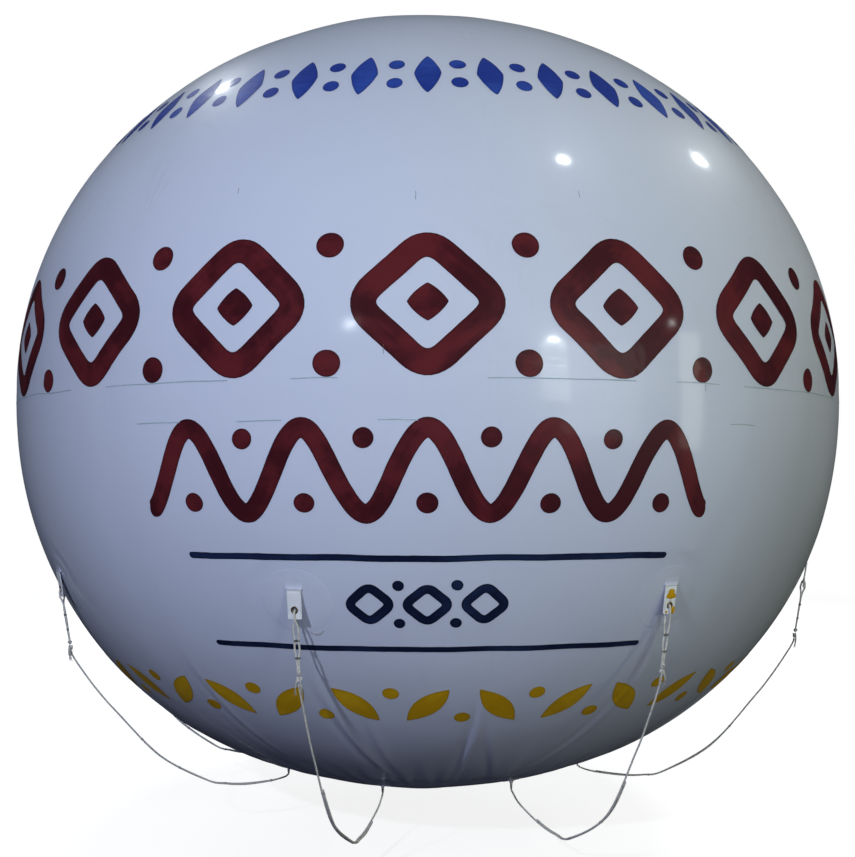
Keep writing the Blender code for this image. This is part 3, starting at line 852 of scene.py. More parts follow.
def add_turned(shape, profile, sides, place, ridges=0, ridge_depth=0.0):
    """A (radius, height) profile turned about Z; place maps its points."""
    turn = full_turn(sides)
    radius, height, ribbed = np.array([(*point, 0)[:3] for point in profile]).T[..., None]
    radius = radius + ribbed * ridge_depth * np.cos(turn * ridges)
    points = np.broadcast_arrays(radius * np.cos(turn), radius * np.sin(turn), height)
    places = np.apply_along_axis(place, -1, np.stack(points, axis=-1))
    along = run_along(np.array([point[:2] for point in profile]))[:, None]
    shape.add_grid(places, (along, radius * turn), loop_columns=True)


def raised(base, profile):
    """A profile whose heights count from a base."""
    return [(radius, base + height, *rest) for radius, height, *rest in profile]


def eyelet_mesh():
    """A brass eyelet: its rolled flange on the front, its barrel and its washer behind."""
    profile = [(0.0126, 0.0000), (0.0130, 0.0005), (0.0127, 0.0011), (0.0115, 0.0017), (0.0100, 0.0019),
               (0.0086, 0.0016), (0.0076, 0.0007), (0.0072, -0.0008), (0.0072, -0.0034), (0.0077, -0.0046),
               (0.0090, -0.0055), (0.0106, -0.0056), (0.0124, -0.0051), (0.0127, -0.0044), (0.0122, -0.0040)]
    shape = Shape()
    add_turned(shape, profile[::-1], 40,
               lambda p: leaning(HOLE_BELOW_HINGE + p[1], TAB_THICKNESS / 2 + p[2], p[0]))
    return shape.mesh("eyelet")


def doubler_mesh(k):
    """A round film doubler with a pressed rim, and the strip that welds the tab to it."""
    azimuth = TAB_AZIMUTHS[k]
    run = HINGE_RUN - DOUBLER_BELOW_HINGE
    turn = full_turn(72)
    profile = [(1.0, 0.0002), (0.998, 0.0005), (0.985, 0.0007), (0.95, 0.0009), (0.91, 0.0011),
               (0.86, 0.0013), (0.78, 0.0016), (0.68, 0.0018), (0.55, 0.0020), (0.35, 0.0021),
               (0.15, 0.0021), (0.002, 0.0021)]
    part, lift = np.array(profile).T[..., None]
    across = part * DOUBLER_RADIUS * np.cos(turn)
    up = part * DOUBLER_RADIUS * np.sin(turn)
    places = skin(azimuth + across / radius_at(run), run + up, lift)
    shape = Shape()
    shape.add_grid(places, (up, across), (1 - part) * DOUBLER_RADIUS, loop_columns=True)
    add_strip(shape, azimuth)
    return shape.mesh(f"doubler_disc_{k + 1}", sharp=40)


def add_strip(shape, azimuth):
    """The tab's root, welded down above the hinge and thickening towards it."""
    low = TAB_THICKNESS / 2 + SEAM_GAP
    top = HINGE_LIFT + TAB_THICKNESS / 2
    section = [(STRIP_TALL, 0.0020), (STRIP_TALL - 0.0004, 0.0025), (STRIP_TALL - 0.005, 0.0028),
               (0.016, 0.0034), (0.011, 0.0044), (0.007, 0.0058), (0.003, 0.0078), (0.001, top - 0.0003),
               (0, top - 0.0010), (0, 0.0020)]
    up, lift = np.array(section).T
    run = HINGE_RUN + low + up
    across = np.linspace(-STRIP_WIDTH / 2, STRIP_WIDTH / 2, 13)
    pinch = np.where(np.abs(across) > STRIP_WIDTH / 2 - 0.001, 0.7, 1.0)
    rows = []
    for x, squeeze in zip(across, pinch):
        rows.append(skin(azimuth + x / radius_at(run), run, 0.002 + (lift - 0.002) * squeeze))
    shape.add_grid(np.array(rows)[:, ::-1], loop_columns=True, capped=True)


HANGER_LINE = [(0.292, 0.0, 0.0031), (0.262, 0.0, 0.0034), (0.242, 0.0, 0.0038), (0.232, 0.0, 0.0044),
               (0.221, 0.0, 0.0062), (0.206, 0.0, 0.0086), (0.190, 0.0, 0.0084), (0.172, 0.0, 0.0060),
               (0.152, 0.0008, 0.0092), (0.130, 0.0022, 0.0092), (0.112, 0.0052, 0.0058),
               (0.098, 0.0092, 0.0014), (0.086, 0.0080, 0.0), (0.0775, 0.0070, 0.0), (0.0705, 0.0045, 0.0)]
TIES_BELOW_HINGE = (0.172, 0.232)


def hanger_parts():
    """The rope doubled through the eyelet, its knot and tails, and the two dark ties round it."""
    legs = [leaning(down, out, across) for down, out, across in HANGER_LINE]
    legs.append(leaning(0.0683, 0.0, 0.0))
    legs += [leaning(down, -out, -across) for down, out, across in reversed(HANGER_LINE)]
    rope = Shape()
    add_rope(rope, even_path(legs, ROPE_STEP), ROPE_DIAMETER / 2)
    add_knot(rope, leaning(KNOT_BELOW_HINGE, 0), 0.0078, 0.0030, radians(25))
    add_knot(rope, leaning(0.284, 0.001, 0.002), 0.0060, 0.0026, radians(110))
    for side in (-1, 1):
        add_tail(rope, side)
    ties = Shape()
    for down, reach in zip(TIES_BELOW_HINGE, (0.0100, 0.0084)):
        add_coil(ties, leaning(down, 0.0005), leaning(1, 0), reach, 4, 0.0010, flat=0.52)
    loose = [leaning(0.231, 0.004, 0.007), leaning(0.2285, 0.006, 0.013), leaning(0.2320, 0.005, 0.020)]
    add_tube(ties, even_path(loose, 0.002), 0.0009, sides=6, ends=(1.0, 0.5))
    return rope.mesh("hanger_rope"), ties.mesh("hanger_ties")


def add_tail(shape, side):
    """A short tail of the rope that ends in loose fibres."""
    route = [leaning(0.296, 0.003, 0.003 * side), leaning(0.316, 0.0075, 0.008 * side),
             leaning(0.336, 0.0085, 0.0125 * side)]
    add_rope(shape, even_path(route, ROPE_STEP), 0.0026, sides=12)
    end = route[-1]
    for i in range(9):
        angle = i * 2 * pi / 9 + side
        spread = np.array([cos(angle), sin(angle) * 0.7, 0.25 * sin(3 * angle)])
        fibre = [end - leaning(0.006, 0) * 0.8 + spread * 0.0012, end + leaning(0.010, 0) + spread * 0.0026,
                 end + leaning(0.020 + 0.006 * sin(5 * angle), 0) + spread * 0.0058]
        add_tube(shape, even_path(fibre, ROPE_STEP), 0.00085, sides=5, ends=(1.0, 0.35))


def paint_spill(looks):
    """Yellow paint that ran over one tab, in blobs of (down, across, tall, wide)."""
    shape = Shape()
    out = TAB_THICKNESS / 2 + 0.0003
    blobs = [(0.029, 0.003, 0.036, 0.0185), (0.084, 0.014, 0.028, 0.014), (0.090, -0.014, 0.008, 0.006)]
    turn = full_turn(28)
    side_limit, end_limit = TAB_WIDTH / 2 - 0.001, TAB_LENGTH - 0.001
    part, lift = np.array([(1.0, 0.0), (0.94, 0.0004), (0.6, 0.0005), (0.02, 0.0005)]).T[..., None]
    for seed, (down, across, tall, wide) in enumerate(blobs):
        edge = 1 + 0.16 * np.sin(3 * turn + seed * 2) + 0.10 * np.sin(5 * turn + seed)
        x = np.clip(across + part * wide * edge * np.cos(turn), -side_limit, side_limit)
        y = np.minimum(down + part * tall / 2 * edge * np.sin(turn), end_limit)
        spots = np.stack([y, out + strap_curl(y) + lift, x], axis=-1)
        places = np.apply_along_axis(lambda spot: leaning(*spot), -1, spots)
        shape.add_grid(places, (y, x), (1 - part) * wide, loop_columns=True)
    piece("paint_spill", shape, looks["yellow"], "tab_2", (), tab_place(1))


def loose_thread(looks):
    """A curl of pale thread stuck to the film beside a tab, laid where the doubler's rim catches light: a
    painted highlight.
    """
    route = []
    for across, down, lift in [(0.032, 0.163, 0.0015), (0.042, 0.170, 0.003), (0.056, 0.171, 0.005),
                               (0.070, 0.166, 0.003), (0.081, 0.158, 0.0015)]:
        route.append(skin(FIRST_AZIMUTH + across / HINGE_RADIUS, HINGE_RUN - down, lift))
    shape = Shape()
    add_tube(shape, even_path(route, ROPE_STEP), 0.0013, sides=7, ends=(1.0, 0.5))
    piece("loose_thread", shape, looks["rope"], "root")


def load_tabs(looks):
    strap, eyelet = strap_mesh(), eyelet_mesh()
    rope, ties = hanger_parts()
    for k in range(GORES):
        place, body, number = tab_place(k), f"tab_{k + 1}", k + 1
        piece(f"doubler_film_{number}", doubler_mesh(k), looks["doubler"], "root",
              [f"doubler_{number}"])
        for name, mesh, look, slot, replaced in [("strap", strap, "strap", "tab", ["load_tab"]),
                                                 ("eyelet", eyelet, "brass", "tab", []),
                                                 ("hanger_rope", rope, "rope", "rope", ["hanger"]),
                                                 ("hanger_ties", ties, "dark_cord", "rope", [])]:
            nodes = [f"{node}_{number}" for node in replaced]
            piece(f"{name}_{number}", mesh, looks[look], body, nodes, place)


# Lugs and valve under the belly

FLANGE_TALL = 0.003
NECK_TALL = 0.022
CAP_TALL = 0.0243


def rope_lugs(looks):
    """Moulded lugs on small round patches, with the end of each rope lashed on."""
    patches, lugs, ties = Shape(), Shape(), Shape()
    run = run_at_radius(LUG_FROM_AXIS, False)
    bottom = lug_bottom()
    profile = raised(bottom, [(0.0002, 0), (0.0030, 0), (0.0040, 0.0008), (0.0047, 0.005), (0.0058, 0.010),
                              (0.0076, 0.015), (0.0105, LUG_TALL - 0.001), (0.0130, LUG_TALL + 0.004)])
    part, lift = np.array([(1.0, 0.0002), (0.985, 0.0012), (0.93, 0.0016), (0.88, 0.0016), (0.84, 0.0010),
                           (0.5, 0.0012), (0.01, 0.0012)]).T[..., None]
    turn = full_turn(40)
    across, up = part * PATCH_RADIUS * np.cos(turn), part * PATCH_RADIUS * np.sin(turn)
    for azimuth in TAB_AZIMUTHS:
        places = skin(azimuth + across / LUG_FROM_AXIS, run + up, lift)
        patches.add_grid(places, (up, across), (1 - part) * PATCH_RADIUS, loop_columns=True)
        foot = around(LUG_FROM_AXIS, 0, azimuth)
        add_turned(lugs, profile, 28, lambda p: (p[0] + foot.x, p[1] + foot.y, p[2]))
        add_coil(ties, (foot.x, foot.y, bottom + 0.0015), (0, 0, 1), 0.0050, 4, 0.0009)
        add_coil(ties, (foot.x, foot.y, bottom - 0.007), (0, 0, 1), 0.0040, 3, 0.0009)
    piece("lug_patches", patches, looks["doubler"], "root")
    piece("rope_lugs", lugs.mesh("rope_lugs", sharp=50), looks["strap"], "root")
    piece("lug_ties", ties, looks["dark_cord"], "root")


def valve(looks):
    """The air valve's ribbed flange and neck, and its knurled cap."""
    face = float(height_at(run_at_radius(VALVE_HOLE_RADIUS, False))) - SEAM_GAP
    flange = face - FLANGE_TALL
    end = flange - NECK_TALL
    body = [(0.0160, face + 0.013)] + raised(end, [
        (0.0160, 0.001), (0.0165, 0), (0.0232, 0), (0.0240, 0.0008), (0.0240, 0.004), (0.0233, 0.0048),
        (0.0240, 0.0056), (0.0240, 0.0096), (0.0233, 0.0104), (0.0240, 0.0112)]) + raised(flange, [
            (0.0240, -0.0035), (0.0250, -0.0012), (0.0275, 0), (0.0400, 0), (0.0408, -0.0008),
            (0.0428, -0.0008), (0.0436, 0), (0.0545, 0), (0.0558, 0.0008)]) + raised(face, [
                (0.0560, -0.0006), (0.0560, 0), (0.0222, 0), (0.0220, 0.013)])
    shape = Shape()
    add_turned(shape, body[::-1], 72, lambda p: p)
    for i in range(12):
        turn = i * 2 * pi / 12
        inner, outer = (np.array([r * cos(turn), r * sin(turn), flange + 0.0002]) for r in (0.0285, 0.0385))
        add_tube(shape, np.linspace(inner, outer, 6), 0.0011, sides=8, ends=(0.8, 0.8))
    piece("valve_neck", shape.mesh("valve_neck", sharp=40), looks["valve"], "root", ["valve_body"])
    rim = flange - SEAM_GAP
    cap = raised(rim, [
        (0.0245, 0), (0.0292, 0), (0.0298, -0.0008), (0.0296, -0.003, 0.2), (0.0293, -0.005, 1)])
    cap += raised(rim - CAP_TALL, [
        (0.0293, 0.0035, 1), (0.0290, 0.0018, 0.3), (0.0280, 0.0006), (0.0262, 0), (0.0190, 0),
        (0.0182, 0.0014), (0.0110, 0.0016), (0.0102, 0.0004), (0.0003, 0.0002)])
    inside = raised(rim, [(0.0003, -0.022), (0.0245, -0.022)])
    cover = Shape()
    add_turned(cover, (cap + inside)[::-1] + [cap[0]], 240, lambda p: p, ridges=40, ridge_depth=0.0006)
    piece("valve_cover", cover.mesh("valve_cover", sharp=40), looks["valve"], "cap", ["valve_cap"])


# Materials

def colour(red, green, blue):
    return (red, green, blue, 1.0)


class Wiring:
    """Short calls for adding nodes to a tree and joining them."""

    def __init__(self, tree):
        self.tree = tree

    def add(self, kind, **values):
        node = self.tree.nodes.new(kind)
        for name, value in values.items():
            setattr(node, name, value)
        return node

    def fill(self, socket, value):
        if isinstance(value, bpy.types.NodeSocket):
            self.tree.links.new(value, socket)
        else:
            socket.default_value = value

    def feed(self, node, *values):
        """Fill a node's inputs in order."""
        for socket, value in zip(node.inputs, values):
            self.fill(socket, value)
        return node.outputs

    def join(self, node, **values):
        """Fill a node's inputs by name, with _ for a space."""
        for label, value in values.items():
            self.fill(node.inputs[label.replace("_", " ")], value)
        return node.outputs

    def noise(self, vector, scale, detail=3.0, roughness=0.5, distortion=0.0):
        return self.join(self.add("ShaderNodeTexNoise"), Vector=vector, Scale=scale, Detail=detail,
                         Roughness=roughness, Distortion=distortion)["Fac"]

    def bands(self, vector, scale, direction):
        node = self.add("ShaderNodeTexWave", wave_type="BANDS", bands_direction=direction)
        return self.join(node, Vector=vector, Scale=scale)["Fac"]

    def math(self, operation, first, second=0.0):
        return self.feed(self.add("ShaderNodeMath", operation=operation), first, second, 0.0)[0]

    def plus(self, first, second):
        return self.math("ADD", first, second)

    def minus(self, first, second):
        return self.math("SUBTRACT", first, second)

    def times(self, first, second):
        return self.math("MULTIPLY", first, second)

    def spread(self, value, low, high):
        node = self.add("ShaderNodeMapRange", interpolation_type="SMOOTHSTEP")
        return self.feed(node, value, low, high)["Result"]

    def mix(self, share, first, second):
        node = self.add("ShaderNodeMix", data_type="RGBA")
        return self.join(node, Factor=share, A=first, B=second)["Result"]

    def vector(self, operation, first, second):
        return self.feed(self.add("ShaderNodeVectorMath", operation=operation), first, second)["Vector"]

    def scaled(self, vector, by):
        return self.vector("MULTIPLY", vector, by)

    def group(self, name, **values):
        return self.join(self.add("ShaderNodeGroup", node_tree=bpy.data.node_groups[name]), **values)

    def bump(self, height, distance, strength=1.0):
        node = self.add("ShaderNodeBump")
        return self.join(node, Height=height, Distance=distance, Strength=strength)["Normal"]


class Look(Wiring):
    """The wiring of a material, with its shader and the places, marks and rims it reads."""

    def __init__(self, name):
        self.material = bpy.data.materials.new(name)
        self.material.use_nodes = True
        super().__init__(self.material.node_tree)
        self.shader = self.tree.nodes["Principled BSDF"]
        self.place = self.add("ShaderNodeTexCoord").outputs["Object"]

    def marks(self):
        return self.add("ShaderNodeUVMap", uv_map="metric").outputs["UV"]

    def rim(self):
        return self.add("ShaderNodeAttribute", attribute_name="rim").outputs["Fac"]

    def moved(self, by):
        """The place, moved by chance so that copies differ."""
        chance = self.add("ShaderNodeObjectInfo").outputs["Random"]
        return self.vector("ADD", self.place, self.scaled(chance, by))

    def grime(self, size, cover, place=None):
        outputs = self.group("grime", Place=place or self.place, Size=size, Cover=cover)
        return outputs["Smudges"], outputs["Specks"]

    # Mixes a darker tone in through a mask: for dirt, and for painted shade in creases and rope grooves.
    def dirt_and_shade(self, base, mask, share, dark_tone):
        return self.mix(self.times(mask, share), base, dark_tone)

    def dressed(self, **values):
        self.join(self.shader, **values)
        return self.material


def new_group(name, inputs, outputs):
    """A shader node group: its wiring, its inputs and its end. An input without a default is a vector."""
    group = bpy.data.node_groups.new(name, "ShaderNodeTree")
    for label, default in inputs.items():
        kind = "NodeSocketVector" if default is None else "NodeSocketFloat"
        socket = group.interface.new_socket(label, in_out="INPUT", socket_type=kind)
        if default is not None:
            socket.default_value = default
    for label in outputs:
        group.interface.new_socket(label, in_out="OUTPUT", socket_type="NodeSocketFloat")
    w = Wiring(group)
    return w, w.add("NodeGroupInput").outputs, w.add("NodeGroupOutput")


def make_grime():
    """Soft smudges and fine specks of dust, for anything that is handled outdoors."""
    w, given, end = new_group("grime", {"Place": None, "Size": 3.0, "Cover": 0.5}, ["Smudges", "Specks"])
    place, size, cover = given["Place"], given["Size"], given["Cover"]
    broad = w.noise(place, size, 5.0, 0.62, 0.6)
    broken = w.noise(place, w.times(size, 6.5), 6.0, 0.7)
    edge = w.minus(0.78, w.times(cover, 0.40))
    patches = w.spread(broad, edge, w.plus(edge, 0.24))
    specks = w.spread(w.noise(place, w.times(size, 52), 2.0, 0.5), 0.70, 0.80)
    w.join(end, Smudges=w.times(patches, w.spread(broken, 0.30, 0.72)), Specks=w.times(specks, cover))


def make_waviness():
    """The fine waviness and faint creases of tightly blown film; the crease mask also serves for painted
    shade along the creases.
    """
    w, given, end = new_group("film waviness", {"Place": None, "Fineness": 12.0}, ["Height", "Creases"])
    place, fineness = given["Place"], given["Fineness"]
    wide = w.noise(place, fineness, 2.0, 0.45, 0.3)
    grainy = w.noise(place, w.times(fineness, 14), 2.0, 0.5)
    folded = w.noise(w.scaled(place, (1.0, 1.0, 0.35)), w.times(fineness, 0.45), 3.0, 0.55, 1.4)
    line = w.math("ABSOLUTE", w.minus(folded, 0.5))
    gate = w.spread(w.noise(place, w.times(fineness, 0.2), 2.0), 0.56, 0.70)
    creases = w.times(w.minus(1.0, w.spread(line, 0.0, 0.012)), gate)
    height = w.plus(wide, w.times(grainy, 0.03))
    w.join(end, Height=w.minus(height, w.times(creases, 0.10)), Creases=creases)


def make_brush():
    """Long streaks along a stroke, where bristles left the paint thick or thin."""
    w, given, end = new_group("brush strokes", {"Stroke": None, "Place": None, "Rim": 0.02},
                              ["Streaks", "Coats", "Edge"])
    fine = w.noise(w.scaled(given["Stroke"], (5.0, 230.0, 1.0)), 1.0, 3.0, 0.6, 0.2)
    wide = w.noise(w.scaled(given["Stroke"], (2.2, 42.0, 1.0)), 1.0, 3.0, 0.55, 0.4)
    coats = w.noise(given["Place"], 3.4, 4.0, 0.6, 0.5)
    w.join(end, Streaks=w.plus(w.times(fine, 0.45), w.times(wide, 0.55)), Coats=w.spread(coats, 0.34, 0.66),
           Edge=w.minus(1.0, w.spread(given["Rim"], 0.0005, 0.0065)))


def film_material():
    """Glossy white film: cool, a little uneven, with smudges and dust, painted shade along a few faint
    creases, and greyer towards the bottom.
    """
    w = Look("film")
    smudges, specks = w.grime(1.6, 0.45)
    slack = w.group("film waviness", Place=w.place, Fineness=5.5)
    height = w.feed(w.add("ShaderNodeSeparateXYZ"), w.place)["Z"]
    base = w.mix(w.noise(w.place, 0.9), colour(0.625, 0.680, 0.840), colour(0.680, 0.720, 0.860))
    base = w.mix(w.plus(w.times(smudges, 0.20), w.times(specks, 0.30)), base, colour(0.42, 0.42, 0.43))
    # Greyer towards the bottom of the balloon.
    base = w.dirt_and_shade(base, w.spread(height, -0.9, -1.75), 0.35, colour(0.46, 0.46, 0.48))
    # Painted shade along the faint creases.
    base = w.dirt_and_shade(base, slack["Creases"], 0.22, colour(0.50, 0.53, 0.60))
    rough = w.plus(0.38, w.times(w.noise(w.place, 4.0, 4.0), 0.10))
    return w.dressed(Base_Color=base, Roughness=w.plus(rough, w.times(smudges, 0.14)),
                     Normal=w.bump(slack["Height"], 0.0024), Coat_Weight=0.50, Coat_Roughness=0.09)


def weld_material():
    """Film pressed double along a seam, with the fine ribs of the welding bar."""
    w = Look("weld")
    smudges, _ = w.grime(5.0, 0.5)
    base = w.mix(w.noise(w.place, 0.9), colour(0.622, 0.676, 0.834), colour(0.676, 0.716, 0.855))
    base = w.dirt_and_shade(base, smudges, 0.16, colour(0.44, 0.45, 0.48))
    return w.dressed(Base_Color=base, Roughness=w.plus(0.38, w.times(smudges, 0.1)), Coat_Weight=0.45,
                     Normal=w.bump(w.bands(w.marks(), 110, "X"), 0.0002, 0.4), Coat_Roughness=0.06)


def paint_material(name, thin, full, dark):
    """Brushed gloss paint: thin and full colour in streaks, and a darker drawn edge."""
    w = Look(name)
    brush = w.group("brush strokes", Stroke=w.marks(), Place=w.place, Rim=w.rim())
    _, specks = w.grime(4.0, 0.3)
    cover = w.plus(w.times(brush["Streaks"], 0.62), w.times(brush["Coats"], 0.42))
    base = w.mix(w.spread(cover, 0.30, 0.72), colour(*thin), colour(*full))
    base = w.dirt_and_shade(base, brush["Edge"], 0.75, colour(*dark))
    base = w.dirt_and_shade(base, specks, 0.25, colour(0.45, 0.42, 0.40))
    return w.dressed(Base_Color=base, Roughness=w.plus(0.30, w.times(brush["Streaks"], 0.22)),
                     Normal=w.bump(brush["Streaks"], 0.0007, 0.7), Specular_IOR_Level=0.22,
                     Coat_Weight=0.22, Coat_Roughness=0.09)


def line_material(name, strong, faint):
    """A drawn line, rubbed away in places."""
    w = Look(name)
    smudges, _ = w.grime(30.0, 0.9)
    return w.dressed(Base_Color=w.mix(smudges, strong, faint), Roughness=0.7)


def doubler_material():
    """Thicker film of the round doublers, a touch yellower and more scuffed."""
    w = Look("doubler")
    smudges, _ = w.grime(9.0, 0.6)
    slack = w.group("film waviness", Place=w.place, Fineness=26.0)
    base = w.mix(w.noise(w.place, 7.0), colour(0.630, 0.682, 0.838), colour(0.680, 0.718, 0.855))
    base = w.dirt_and_shade(base, smudges, 0.26, colour(0.40, 0.40, 0.41))
    return w.dressed(Base_Color=base, Roughness=w.plus(0.28, w.times(smudges, 0.2)),
                     Normal=w.bump(slack["Height"], 0.0012), Coat_Weight=0.35, Coat_Roughness=0.10)


def strap_material():
    """Coated strap: bright white over a woven base whose ribs just show through."""
    w = Look("strap")
    moved, marks = w.moved((7.0, 5.0, 3.0)), w.marks()
    smudges, specks = w.grime(22.0, 0.55, moved)
    weave = w.times(w.bands(marks, 260, "X"), w.bands(marks, 260, "Y"))
    base = w.mix(w.noise(moved, 30.0), colour(0.80, 0.83, 0.87), colour(0.88, 0.89, 0.91))
    base = w.dirt_and_shade(base, smudges, 0.42, colour(0.43, 0.42, 0.40))
    base = w.dirt_and_shade(base, specks, 0.5, colour(0.25, 0.24, 0.22))
    return w.dressed(Base_Color=base, Roughness=w.plus(0.36, w.times(smudges, 0.25)),
                     Normal=w.bump(weave, 0.0003, 0.7))


def brass_material():
    """Dull brass, browner where fingers and rope don't rub it."""
    w = Look("brass")
    moved = w.moved((3.0, 5.0, 7.0))
    smudges, specks = w.grime(90.0, 0.75, moved)
    base = w.mix(smudges, colour(0.60, 0.44, 0.21), colour(0.26, 0.17, 0.09))
    base = w.mix(specks, base, colour(0.16, 0.22, 0.16))
    return w.dressed(Base_Color=base, Roughness=w.plus(0.28, w.times(smudges, 0.34)), Metallic=1.0,
                     Normal=w.bump(w.noise(moved, 700.0), 0.0002, 0.5))


def rope_material(name, pale, worn):
    """Laid polyester rope: fine yarns along each strand, browned where it is handled, with painted shade in
    the grooves between the strands.
    """
    w = Look(name)
    smudges, _ = w.grime(14.0, 0.7)
    yarns = w.noise(w.scaled(w.marks(), (160.0, 2600.0, 1.0)), 1.0, 3.0, 0.6)
    # Painted shade in the grooves between the strands, where the surface lies nearest the rope's middle;
    # cords thinner than the rope are shaded all over.
    groove_shade = w.minus(1.0, w.spread(w.rim(), 0.0030, 0.0037))
    base = w.mix(yarns, worn, pale)
    base = w.dirt_and_shade(base, groove_shade, 0.55, colour(0.16, 0.15, 0.13))
    base = w.dirt_and_shade(base, smudges, 0.5, colour(0.27, 0.24, 0.20))
    return w.dressed(Base_Color=base, Roughness=0.82, Normal=w.bump(yarns, 0.0004), Sheen_Weight=0.25,
                     Sheen_Roughness=0.5)


def valve_material():
    """Moulded plastic, near navy, with a fine grain and dust on its rims."""
    w = Look("valve")
    smudges, _ = w.grime(26.0, 0.6)
    base = w.mix(w.noise(w.place, 40.0), colour(0.030, 0.040, 0.075), colour(0.045, 0.058, 0.100))
    base = w.dirt_and_shade(base, smudges, 0.45, colour(0.19, 0.18, 0.17))
    return w.dressed(Base_Color=base, Roughness=w.plus(0.38, w.times(smudges, 0.3)),
                     Normal=w.bump(w.noise(w.place, 900.0, 2.0), 0.0002, 0.5))


PAINTS = {"maroon": ((0.125, 0.017, 0.022), (0.052, 0.008, 0.013), (0.028, 0.007, 0.014)),
          "navy": ((0.014, 0.026, 0.075), (0.007, 0.011, 0.036), (0.004, 0.007, 0.022)),
          "blue": ((0.036, 0.085, 0.42), (0.022, 0.048, 0.30), (0.018, 0.034, 0.20)),
          "yellow": ((0.74, 0.44, 0.012), (0.60, 0.33, 0.006), (0.46, 0.26, 0.010))}


def make_looks():
    make_grime()
    make_waviness()
    make_brush()
    looks = {name: paint_material(f"{name} paint", *tones) for name, tones in PAINTS.items()}
    makers = {"film": film_material, "weld": weld_material, "doubler": doubler_material,
              "strap": strap_material, "brass": brass_material, "valve": valve_material}
    looks.update({name: make() for name, make in makers.items()})
    looks["pencil"] = line_material("pencil", colour(0.22, 0.24, 0.30), colour(0.42, 0.45, 0.52))
    looks["chalk"] = line_material("chalk", colour(0.34, 0.45, 0.50), colour(0.55, 0.63, 0.74))
    looks["rope"] = rope_material("rope", colour(0.80, 0.79, 0.76), colour(0.60, 0.58, 0.54))
    looks["dark_cord"] = rope_material("dark cord", colour(0.060, 0.060, 0.065), colour(0.030, 0.030, 0.034))
    return looks


# Studio: pale floor, white behind, dim all round, and lamps on every side

def floor_material():
    """Pale floor that is white far off and clear from below."""
    w = Look("floor")
    tone = w.mix(w.noise(w.place, 0.6), colour(0.34, 0.34, 0.34), colour(0.37, 0.37, 0.37))
    away = w.feed(w.add("ShaderNodeVectorMath", operation="LENGTH"), w.place)["Value"]
    glow = w.mix(w.spread(away, 4.0, 15.0), colour(0.84, 0.84, 0.84), colour(1, 1, 1))
    w.dressed(Base_Color=tone, Roughness=0.9, Specular_IOR_Level=0.0, Emission_Color=glow,
              Emission_Strength=1.0)
    below = w.add("ShaderNodeNewGeometry").outputs["Backfacing"]
    clear = w.add("ShaderNodeBsdfTransparent").outputs[0]
    seen = w.feed(w.add("ShaderNodeMixShader"), below, w.shader.outputs[0], clear)
    w.join(w.tree.nodes["Material Output"], Surface=seen[0])
    return w.material


def make_floor():
    shape = Shape()
    side = np.linspace(-FLOOR_REACH, FLOOR_REACH, 25)
    x, y = np.meshgrid(side, side)
    shape.add_grid(np.stack([x, y, 0 * x + FLOOR_HEIGHT], axis=-1), (x, y))
    floor = bpy.data.objects.new("floor", shape.mesh("floor"))
    bpy.context.scene.collection.objects.link(floor)
    floor.data.materials.append(floor_material())
    floor.visible_diffuse = False
    floor.visible_glossy = False


def make_world():
    world = bpy.data.worlds.new("studio")
    bpy.context.scene.world = world
    world.use_nodes = True
    w = Wiring(world.node_tree)
    dim = w.join(w.tree.nodes["Background"], Color=colour(0.62, 0.70, 1.0), Strength=0.015)
    bright = w.join(w.add("ShaderNodeBackground"), Color=colour(1, 1, 1), Strength=1.0)
    straight = w.add("ShaderNodeLightPath").outputs["Is Camera Ray"]
    seen = w.feed(w.add("ShaderNodeMixShader"), straight, dim[0], bright[0])
    w.join(w.tree.nodes["World Output"], Surface=seen[0])


def lamp(name, place, power, tint, width, height=None, mirrored=False):
    """A round lamp, or an oblong one, aimed at the balloon. It lights the film or is mirrored in it."""
    data = bpy.data.lights.new(name, "AREA")
    data.energy = power
    data.color = tint
    data.shape = "DISK" if height is None else "RECTANGLE"
    data.size = width
    data.size_y = height or data.size_y
    light = bpy.data.objects.new(name, data)
    light.visible_glossy = mirrored
    light.visible_diffuse = not mirrored
    light.location = place
    light.rotation_euler = (-Vector(place)).to_track_quat("-Z", "Y").to_euler()
    bpy.context.scene.collection.objects.link(light)


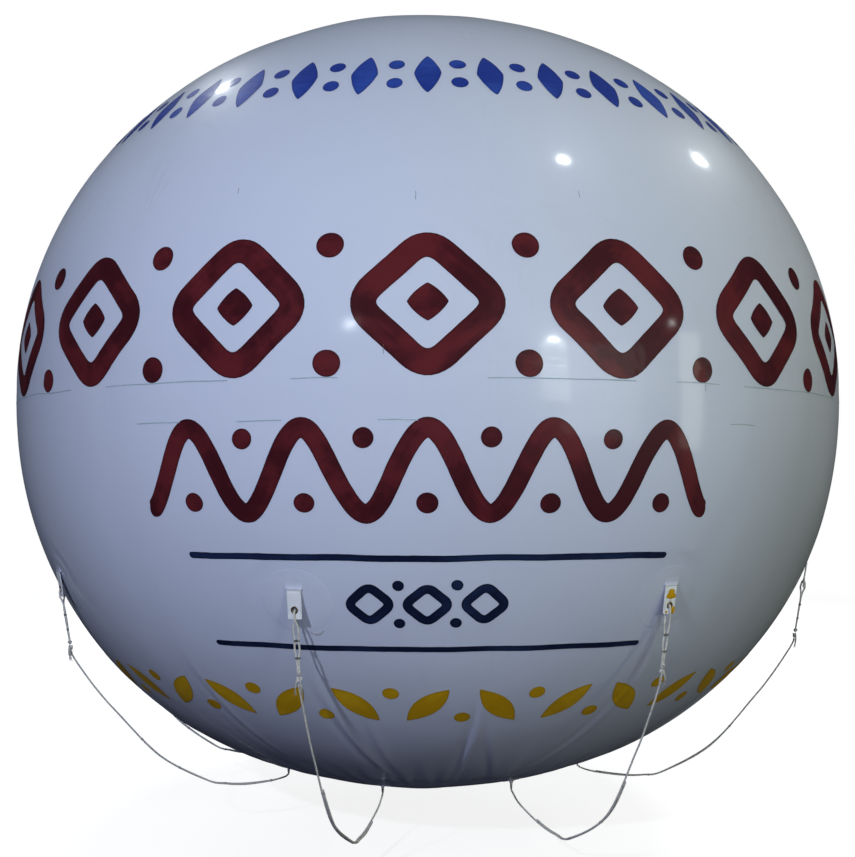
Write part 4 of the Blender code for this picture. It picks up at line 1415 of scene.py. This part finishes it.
SOFT_LAMPS = [("left key", (-4.0, -8.6, 3.5), 409, (0.78, 0.85, 1.0), 0.32),
              ("right key", (8.1, -5.7, 0.33), 66, (1.0, 0.93, 0.42), 0.9),
              ("right front fill", (4.6, -8.4, 1.5), 132, (0.86, 1.0, 0.86), 2.0),
              ("right upper fill", (5, -6, 5), 40, (1.0, 1.0, 0.50), 2.0),
              ("left roof fill", (-3.2, 2.1, 5.5), 88, (0.91, 1.0, 0.89), 1.0),
              ("right roof fill", (4.9, 1.1, 4.7), 140, (0.97, 0.98, 1.0), 1.0),
              ("low fill", (0, -8, -1.2), 80, (0.64, 0.67, 1.0), 5.0, 1.0),
              ("back left fill", (-6, 6, 4), 126, (0.91, 0.97, 1.0), 3.0, 3.0),
              ("back right fill", (6, 6, 3), 102, (0.96, 0.97, 1.0), 3.0, 3.0),
              ("back fill", (0, 9, 0.8), 360, (0.82, 0.88, 1.0), 6.0, 4.0)]
BRIGHT_LAMPS = [((-3.06, 1.87, 5.15), 22), ((2.92, -2.90, 5.54), 24), ((4.61, 0.95, 4.43), 20),
                ((4.33, -7.96, 1.41), 20), ((-3.0, -9.0, 2.2), 7), ((7.0, -4.4, 1.9), 5)]
LAMP_GLOWS = [((-3.25, 2.2, 5.4), 3, 0.6), ((3.0, -2.95, 5.7), 4, 0.6), ((4.75, 1.0, 4.55), 2, 0.5),
              ((4.5, -8.2, 1.46), 10, 0.8), ((-3.1, -9.2, 2.25), 8, 0.8)]
WIDE_LAMPS = [("tall middle lamp", (4.65, -8.5, 0.5), 30, (0.95, 1.0, 0.84), 1.2, 1.9),
              ("tall right lamp", (7.0, -3.7, 0.1), 26, (0.98, 1.0, 0.84), 0.8, 2.8),
              ("wide right lamp", (6.3, -7.4, -0.1), 55, (0.97, 1.0, 0.92), 3.4, 3.0)]


def make_lights():
    """Soft lamps all round for the shading, and those that the film mirrors."""
    for facts in SOFT_LAMPS:
        lamp(*facts)
    for place, power in BRIGHT_LAMPS:
        lamp("bright lamp", place, power, (0.95, 1.0, 1.0), 0.24, mirrored=True)
    for place, power, width in LAMP_GLOWS:
        lamp("lamp glow", place, power, (0.93, 1.0, 0.98), width, mirrored=True)
    for facts in WIDE_LAMPS:
        lamp(*facts, mirrored=True)


def build():
    make_camera()
    looks = make_looks()
    for k in range(GORES):
        free_rope(k, looks["rope"])
    for k in range(GORES):
        gore_film(k, True, looks["film"])
        gore_film(k, False, looks["film"])
    end_film("crown_film", 0.0, CROWN_PANEL_RADIUS, True, looks["film"], "crown_panel")
    end_film("belly_film", VALVE_HOLE_RADIUS, BELLY_PANEL_RADIUS, False, looks["film"], "belly_panel")
    weld_bands(looks["weld"])
    painted_rows(looks)
    load_tabs(looks)
    paint_spill(looks)
    loose_thread(looks)
    rope_lugs(looks)
    valve(looks)
    make_floor()
    make_world()
    make_lights()
    bpy.context.scene.view_settings.view_transform = "Standard"


build()
